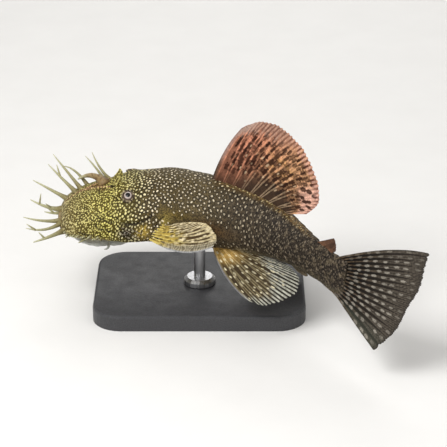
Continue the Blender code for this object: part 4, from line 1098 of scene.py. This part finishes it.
def pectoral_fin(side, material):
    """A golden fin behind the cheek, speckled brown, with a stout banded spine in front."""
    root, tips, bows = (mirrored(p, side) for p in (PECTORAL_ROOT, PECTORAL_TIPS, PECTORAL_BOWS))
    fin = Fin(root, tips, rays=8, rows=150, cols=180, bows=bows, held=PECTORAL_HELD, split=(0.0, 0.9),
              ray_width=0.27, thin=0.5)
    rng = np.random.default_rng(41)
    down, share = fin.down, fin.share
    broken = np.clip(0.8 + 0.4 * fin.waves(1.0, 43, 0.6), 0.2, 1)
    ray = blend((198, 180, 102), (212, 196, 152), ramp(0.3, 0.6, down))
    web = blend((172, 148, 70), (72, 56, 35), ramp(0.3, 0.65, down))
    fin.colour = blend(web, ray, 0.95 * ramp(0.15, 0.8, fin.ray) * broken)
    beads = fin.scattered(rng, 5000, (2.0, 1.1), [(0.8, 1.4), (0.35, 0.55), (0.4, 1)],
                          lambda at, place: at > 0.3)
    fin.lay((224, 210, 172), 0.9 * fin.marks(beads, 0.5))
    speckles = fin.scattered(rng, 9000, (1.15, 0.85), [(0.45, 0.85), (0.3, 0.45), (0.6, 1)],
                             lambda at, place: True)
    fade = ramp(0.04, 0.16, down) * (1 - 0.6 * ramp(0.5, 0.85, down))
    fin.lay((66, 48, 20), 0.92 * fade * fin.marks(speckles, ragged=0.2 * fin.waves(0.8, 12)))
    bars = ramp(-0.3, 0.3, np.sin(fin.along * 2 * math.pi / 0.8 + 3 * fin.waves(2, 4)))
    banded = blend((156, 148, 126), (92, 82, 62), 0.8 * bars)
    fin.lay(banded, 0.9 * ramp(0.26, 0.16, share) * ramp(0.1, 0.35, down))
    fin.lay((150, 152, 156), 0.8 * ramp(0.06, 0.02, share) * ramp(0.1, 0.3, down))
    return fin.object(f"pectoral_skin_{side}", material, spine=0.0007)


def pelvic_fin(side, material):
    """A fin below the belly: golden at its foot, spotted, with pale branches at its rim."""
    root, tips, bows = (mirrored(p, side) for p in (PELVIC_ROOT, PELVIC_TIPS, PELVIC_BOWS))
    fin = Fin(root, tips, rays=6, rows=180, cols=260, bows=bows, held=PELVIC_HELD,
              split=(-0.5, 0.02), ray_width=0.19)
    rng = np.random.default_rng(51)
    down, share = fin.down, fin.share
    golden = ramp(0.42, 0.12, down) * (1 - 0.7 * ramp(0.35, 0.8, share))
    broken = np.clip(0.8 + 0.4 * fin.waves(1.3, 53, 0.4), 0.2, 1)
    ray = blend((126, 114, 84), (236, 204, 136), golden)
    web = blend((56, 44, 26), (186, 150, 82), golden) * (1 + 0.2 * fin.waves(2.0, 33))[..., None]
    fin.colour = blend(web, ray, 0.9 * ramp(0.25, 0.9, fin.ray) * broken)
    begin = 0.80 - 0.34 * ramp(0.3, 0.8, share) + 0.05 * fin.waves(3.0, 54)
    pale = blend((36, 32, 27), (184, 184, 170), ramp(0.2, 0.8, fin.ray) * broken)
    fin.lay(pale, 0.9 * ramp(0, 0.18, down - begin))
    spots = [(at, 0.11, 0.7, 0.55, 1.0) for at in np.linspace(0.16, 0.93, 7)]
    spots += fin.scattered(rng, 9000, (2.4, 1.4), [(0.45, 1.1), (0.28, 0.5), (0.4, 1)],
                           lambda at, place: 0.10 < at < 0.85 and place > 0.16)
    fin.lay((214, 204, 170), 0.95 * fin.marks(spots, 0.4, 0.2 * fin.waves(0.8, 55)))
    fin.lay((128, 128, 130), 0.8 * ramp(0.045, 0.015, share) * ramp(0.1, 0.3, down))
    return fin.object(f"pelvic_skin_{side}", material, spine=0.0004)


# The fine dark pits of the skin: their size in metres, and the noise and shade that they cover
PIT_SIZE, PIT_NOISE, PIT_SHADE = 0.00042, (0.41, 0.56), (0.42, 1.20)
# How ragged and how soft the spots' edges are, in shares of their depth
WANDER_SIZE, SPOT_WANDER, SPOT_EDGE = 0.0006, 0.22, (0.02, 0.34)
# Materials of the fish: roughness, strength and size of the mottling and of the grain, and gloss
LOOKS = {
    "skin_look": (0.55, 0.36, 0.0006, 0.7, 0.00035, 0.14),
    "bristle_look": (0.45, 0.16, 0.0005, 0.25, 0.0003, 0.25),
    "spine_look": (0.35, 0.10, 0.0004, 0.15, 0.0003, 0.4),
    "lip_look": (0.45, 0.12, 0.0008, 0.3, 0.0005, 0.3),
    "dorsal_look": (0.55, 0.22, 0.0006, 0.3, 0.0004, 0.12),
    "fin_look": (0.50, 0.22, 0.0006, 0.3, 0.0004, 0.14),
    "tail_look": (0.55, 0.28, 0.0006, 0.3, 0.0004, 0.10),
}
# Darkest and palest light of the stand's paint, of its steel, and of the floor
PAINT_TONES = (0.030, 0.030, 0.033, 1), (0.052, 0.052, 0.056, 1)
STEEL_TONES = (0.46, 0.46, 0.47, 1), (0.62, 0.62, 0.63, 1)
FLOOR_TONES = (0.74, 0.73, 0.71, 1), (0.79, 0.78, 0.76, 1)


class Nodes:
    """A material's node tree, with short calls to add nodes and links."""

    def __init__(self, name):
        self.material = bpy.data.materials.new(name)
        self.material.use_nodes = True
        self.tree = self.material.node_tree
        self.shader = self.tree.nodes["Principled BSDF"]

    def connect(self, value, socket):
        """Links another node's output to the socket, or sets its value."""
        if isinstance(value, bpy.types.NodeSocket):
            self.tree.links.new(value, socket)
        else:
            socket.default_value = value

    def add(self, kind, inputs=None, **settings):
        node = self.tree.nodes.new(kind)
        for key, value in settings.items():
            setattr(node, key, value)
        for key, value in (inputs or {}).items():
            self.connect(value, node.inputs[key])
        return node

    def attribute(self, name, output):
        return self.add("ShaderNodeAttribute", attribute_name=name).outputs[output]

    def place(self):
        return self.add("ShaderNodeTexCoord").outputs["Object"]

    def noise(self, size, detail=3.0, roughness=0.55):
        """Noise with forms of a size in metres."""
        inputs = {"Vector": self.place(), "Scale": 1 / size, "Detail": detail, "Roughness": roughness}
        return self.add("ShaderNodeTexNoise", inputs).outputs["Fac"]

    def math(self, operation, first, second):
        return self.add("ShaderNodeMath", {0: first, 1: second}, operation=operation).outputs[0]

    def fit(self, value, low, high, to_low, to_high, smooth=False):
        """The value moved from one range to another, and held to it."""
        inputs = {"Value": value, "From Min": low, "From Max": high, "To Min": to_low, "To Max": to_high}
        kind = "SMOOTHSTEP" if smooth else "LINEAR"
        return self.add("ShaderNodeMapRange", inputs, interpolation_type=kind).outputs["Result"]

    def mix(self, share, first, second, blend="MIX"):
        """Between two colours, which are sockets 6 and 7 of the mix node."""
        inputs = {0: share, 6: first, 7: second}
        return self.add("ShaderNodeMix", inputs, data_type="RGBA", blend_type=blend).outputs[2]

    def shaded(self, colour, factor):
        """The colour, made darker or lighter by a factor."""
        grey = self.add("ShaderNodeCombineColor", {0: factor, 1: factor, 2: factor}).outputs[0]
        return self.mix(1.0, colour, grey, blend="MULTIPLY")

    def bump(self, height, strength, distance):
        inputs = {"Height": height, "Strength": strength, "Distance": distance}
        self.set(normal=self.add("ShaderNodeBump", inputs).outputs[0])

    def set(self, **values):
        """Sets the shader's own sockets, which are named by their keys, or links them."""
        for key, value in values.items():
            self.connect(value, self.shader.inputs[key.replace("_", " ").title().replace("Ior", "IOR")])


def painted(name, roughness, mottle, mottle_size, bump, bump_size, gloss):
    """A material that takes its colour from the mesh, with fine mottling, gloss and grain."""
    nodes = Nodes(name)
    colour = nodes.attribute("ground", "Color")
    if name == "skin_look":
        colour = spotted(nodes, colour)
    grain = nodes.fit(nodes.noise(mottle_size, 4, 0.7), 0.38, 0.62, 1 - mottle, 1 + mottle)
    rough = nodes.fit(nodes.noise(mottle_size * 2), 0.3, 0.7, roughness - 0.07, roughness + 0.09)
    nodes.set(base_color=nodes.shaded(colour, grain), roughness=rough, specular_ior_level=gloss)
    nodes.bump(nodes.noise(bump_size, 3), bump, bump_size * 0.5)
    return nodes.material


def spotted(nodes, ground):
    """The skin's colour: its ground with fine dark pits, and the ragged marks in its spots."""
    pits = nodes.fit(nodes.noise(PIT_SIZE, 3, 0.6), *PIT_NOISE, *PIT_SHADE)
    wander = nodes.fit(nodes.noise(WANDER_SIZE, 2), 0.2, 0.8, -SPOT_WANDER, SPOT_WANDER)
    depth = nodes.math("ADD", nodes.attribute("spots", "Fac"), wander)
    inside = nodes.fit(depth, *SPOT_EDGE, 0, 1, smooth=True)
    inside = nodes.math("MULTIPLY", inside, nodes.attribute("tone", "Fac"))
    return nodes.mix(inside, nodes.shaded(ground, pits), nodes.attribute("marks", "Color"))


def eye_material():
    """The wet eye, with a faint fleck in its ring."""
    nodes = Nodes("eye_surface")
    flecks = nodes.fit(nodes.noise(0.00022, 3), 0.3, 0.7, 0.82, 1.15)
    rough = nodes.fit(nodes.noise(0.0008), 0.3, 0.7, 0.16, 0.24)
    nodes.set(base_color=nodes.shaded(nodes.attribute("ground", "Color"), flecks), roughness=rough)
    nodes.set(specular_ior_level=0.3, coat_weight=0.15, coat_roughness=0.05)
    return nodes.material


def stand_materials():
    """Dark paint for the stand's plate, and brushed steel for its rod."""
    nodes = Nodes("stand_paint")
    speck = nodes.noise(0.0004, 3)
    colour = nodes.mix(nodes.fit(speck, 0.35, 0.65, 0, 1), *PAINT_TONES)
    nodes.set(base_color=colour, roughness=nodes.fit(nodes.noise(0.004), 0.3, 0.7, 0.42, 0.56))
    nodes.bump(speck, 0.25, 0.00005)
    paint = nodes.material
    nodes = Nodes("stand_steel")
    stretch = nodes.add("ShaderNodeMapping", {"Vector": nodes.place(), "Scale": (1500, 1500, 60)})
    lines = nodes.add("ShaderNodeTexNoise", {"Vector": stretch.outputs[0], "Scale": 1.0, "Detail": 3.0})
    lines = lines.outputs["Fac"]
    colour = nodes.mix(lines, *STEEL_TONES)
    nodes.set(base_color=colour, roughness=nodes.fit(lines, 0.3, 0.7, 0.24, 0.4), metallic=1.0)
    nodes.bump(lines, 0.15, 0.00003)
    return paint, nodes.material


def build_fish():
    """The skin, the growths, the eyes and the fins, each fixed to the still body."""
    looks = {name: painted(name, *values) for name, values in LOOKS.items()}
    skin = Shells()
    Skin().add_to(skin)
    small_parts(skin)
    skin = skin.object("skin", looks["skin_look"])
    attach(skin, "root")
    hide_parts("head", "trunk", "tail_stalk")
    growths = [(bristles(), "bristles", "bristle_look"), (cheek_spines(), "cheek_spines", "spine_look")]
    for shells, name, look in growths + [(mouth(), "lips", "lip_look")]:
        piece = shells.object(name, looks[look])
        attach(piece, "root")
    eye_look = eye_material()
    for side, word in SIDES.items():
        eye = eyeball(side).object("eyeball_" + word, eye_look)
        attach(eye, "root")
        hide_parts("eye_" + word)

    fins = [(dorsal_fin(looks["dorsal_look"]), "dorsal_fin", "dorsal_membrane")]
    fins.append((caudal_fin(looks["tail_look"]), "caudal_fin", "tail_membrane"))
    fin_look = looks["fin_look"]
    root = root_line(BACK, ADIPOSE_BASE, 3, -ROOT_SINK)
    piece = small_fin("adipose_skin", root, ADIPOSE_TIPS, rays=2, size=50, foot=(104, 74, 54),
                      tip=(76, 54, 42), material=fin_look, spine=0.0004)
    fins.append((piece, "adipose_fin", "fin_membrane"))
    root = root_line(BELLY, ANAL_BASE, 3, ROOT_SINK)
    piece = small_fin("anal_skin", root, ANAL_TIPS, rays=5, size=60, foot=(64, 54, 40),
                      tip=(92, 82, 66), material=fin_look, spine=0.0002)
    fins.append((piece, "anal_fin", "fin_membrane"))
    for side, word in SIDES.items():
        fins.append((pectoral_fin(side, fin_look), "pectoral_fin_" + word, "fin_membrane"))
        fins.append((pelvic_fin(side, fin_look), "pelvic_fin_" + word, "fin_membrane"))
    for piece, node, slot in fins:
        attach(piece, "root")
        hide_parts(node)


def build_stand():
    """The looks of the stand's own solids."""
    for node, material in zip(("stand_base", "stand_rod"), stand_materials()):
        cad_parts[node].data.materials.clear()
        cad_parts[node].data.materials.append(material)


# Camera: the photograph's viewing angle and framing
VIEW_DEG, LENS, SENSOR, FRAME_PIXELS, PIXEL_SIZE = 24.0, 150.0, 36.0, 447, 0.0003125
LOOK_AT = Vector((0.0075, 0.0, 0.0255))
FLOOR_HALF = 6.0
# The lights: place, size and power
LIGHTS = {
    "key": ((-0.25, -0.30, 0.45), 0.28, 2.9),
    "fill": ((0.45, -0.35, 0.25), 0.40, 0.7),
    "back": ((0.05, 0.45, 0.40), 0.35, 0.9),
    "ceiling": ((0.0, 0.0, 2.5), 4.0, 26.0),
}
SKY_COLOUR, SKY_POWER = (1.0, 0.98, 0.95, 1), 0.30


def build_stage():
    """The pale floor, the camera and the soft studio lights."""
    mesh = bpy.data.meshes.new("floor")
    corners = [(-1, -1), (1, -1), (1, 1), (-1, 1)]
    mesh.from_pydata([(x * FLOOR_HALF, y * FLOOR_HALF, 0) for x, y in corners], [], [(0, 1, 2, 3)])
    nodes = Nodes("floor_paper")
    nodes.set(base_color=nodes.mix(nodes.noise(0.02), *FLOOR_TONES), roughness=0.8)
    mesh.materials.append(nodes.material)
    floor = add_object("floor", mesh)

    away = math.radians(VIEW_DEG)
    distance = PIXEL_SIZE * FRAME_PIXELS * LENS / SENSOR
    camera = add_object("camera", bpy.data.cameras.new("camera"))
    camera.data.lens, camera.data.sensor_width = LENS, SENSOR
    camera.data.clip_start = 0.01
    camera.location = LOOK_AT + Vector((0, -math.cos(away), math.sin(away))) * distance
    camera.rotation_euler = (math.pi / 2 - away, 0, 0)
    bpy.context.scene.camera = camera

    for name, (place, size, power) in LIGHTS.items():
        lamp = add_object(name, bpy.data.lights.new(name, "AREA"))
        lamp.data.size, lamp.data.energy = size, power
        lamp.location = place
        lamp.rotation_euler = (LOOK_AT - Vector(place)).to_track_quat("-Z", "Y").to_euler()
    world = bpy.data.worlds.new("studio")
    world.use_nodes = True
    background = world.node_tree.nodes["Background"]
    background.inputs["Color"].default_value = SKY_COLOUR
    background.inputs["Strength"].default_value = SKY_POWER
    bpy.context.scene.world = world


bpy.context.scene.view_settings.view_transform = "Standard"
build_fish()
build_stand()
build_stage()
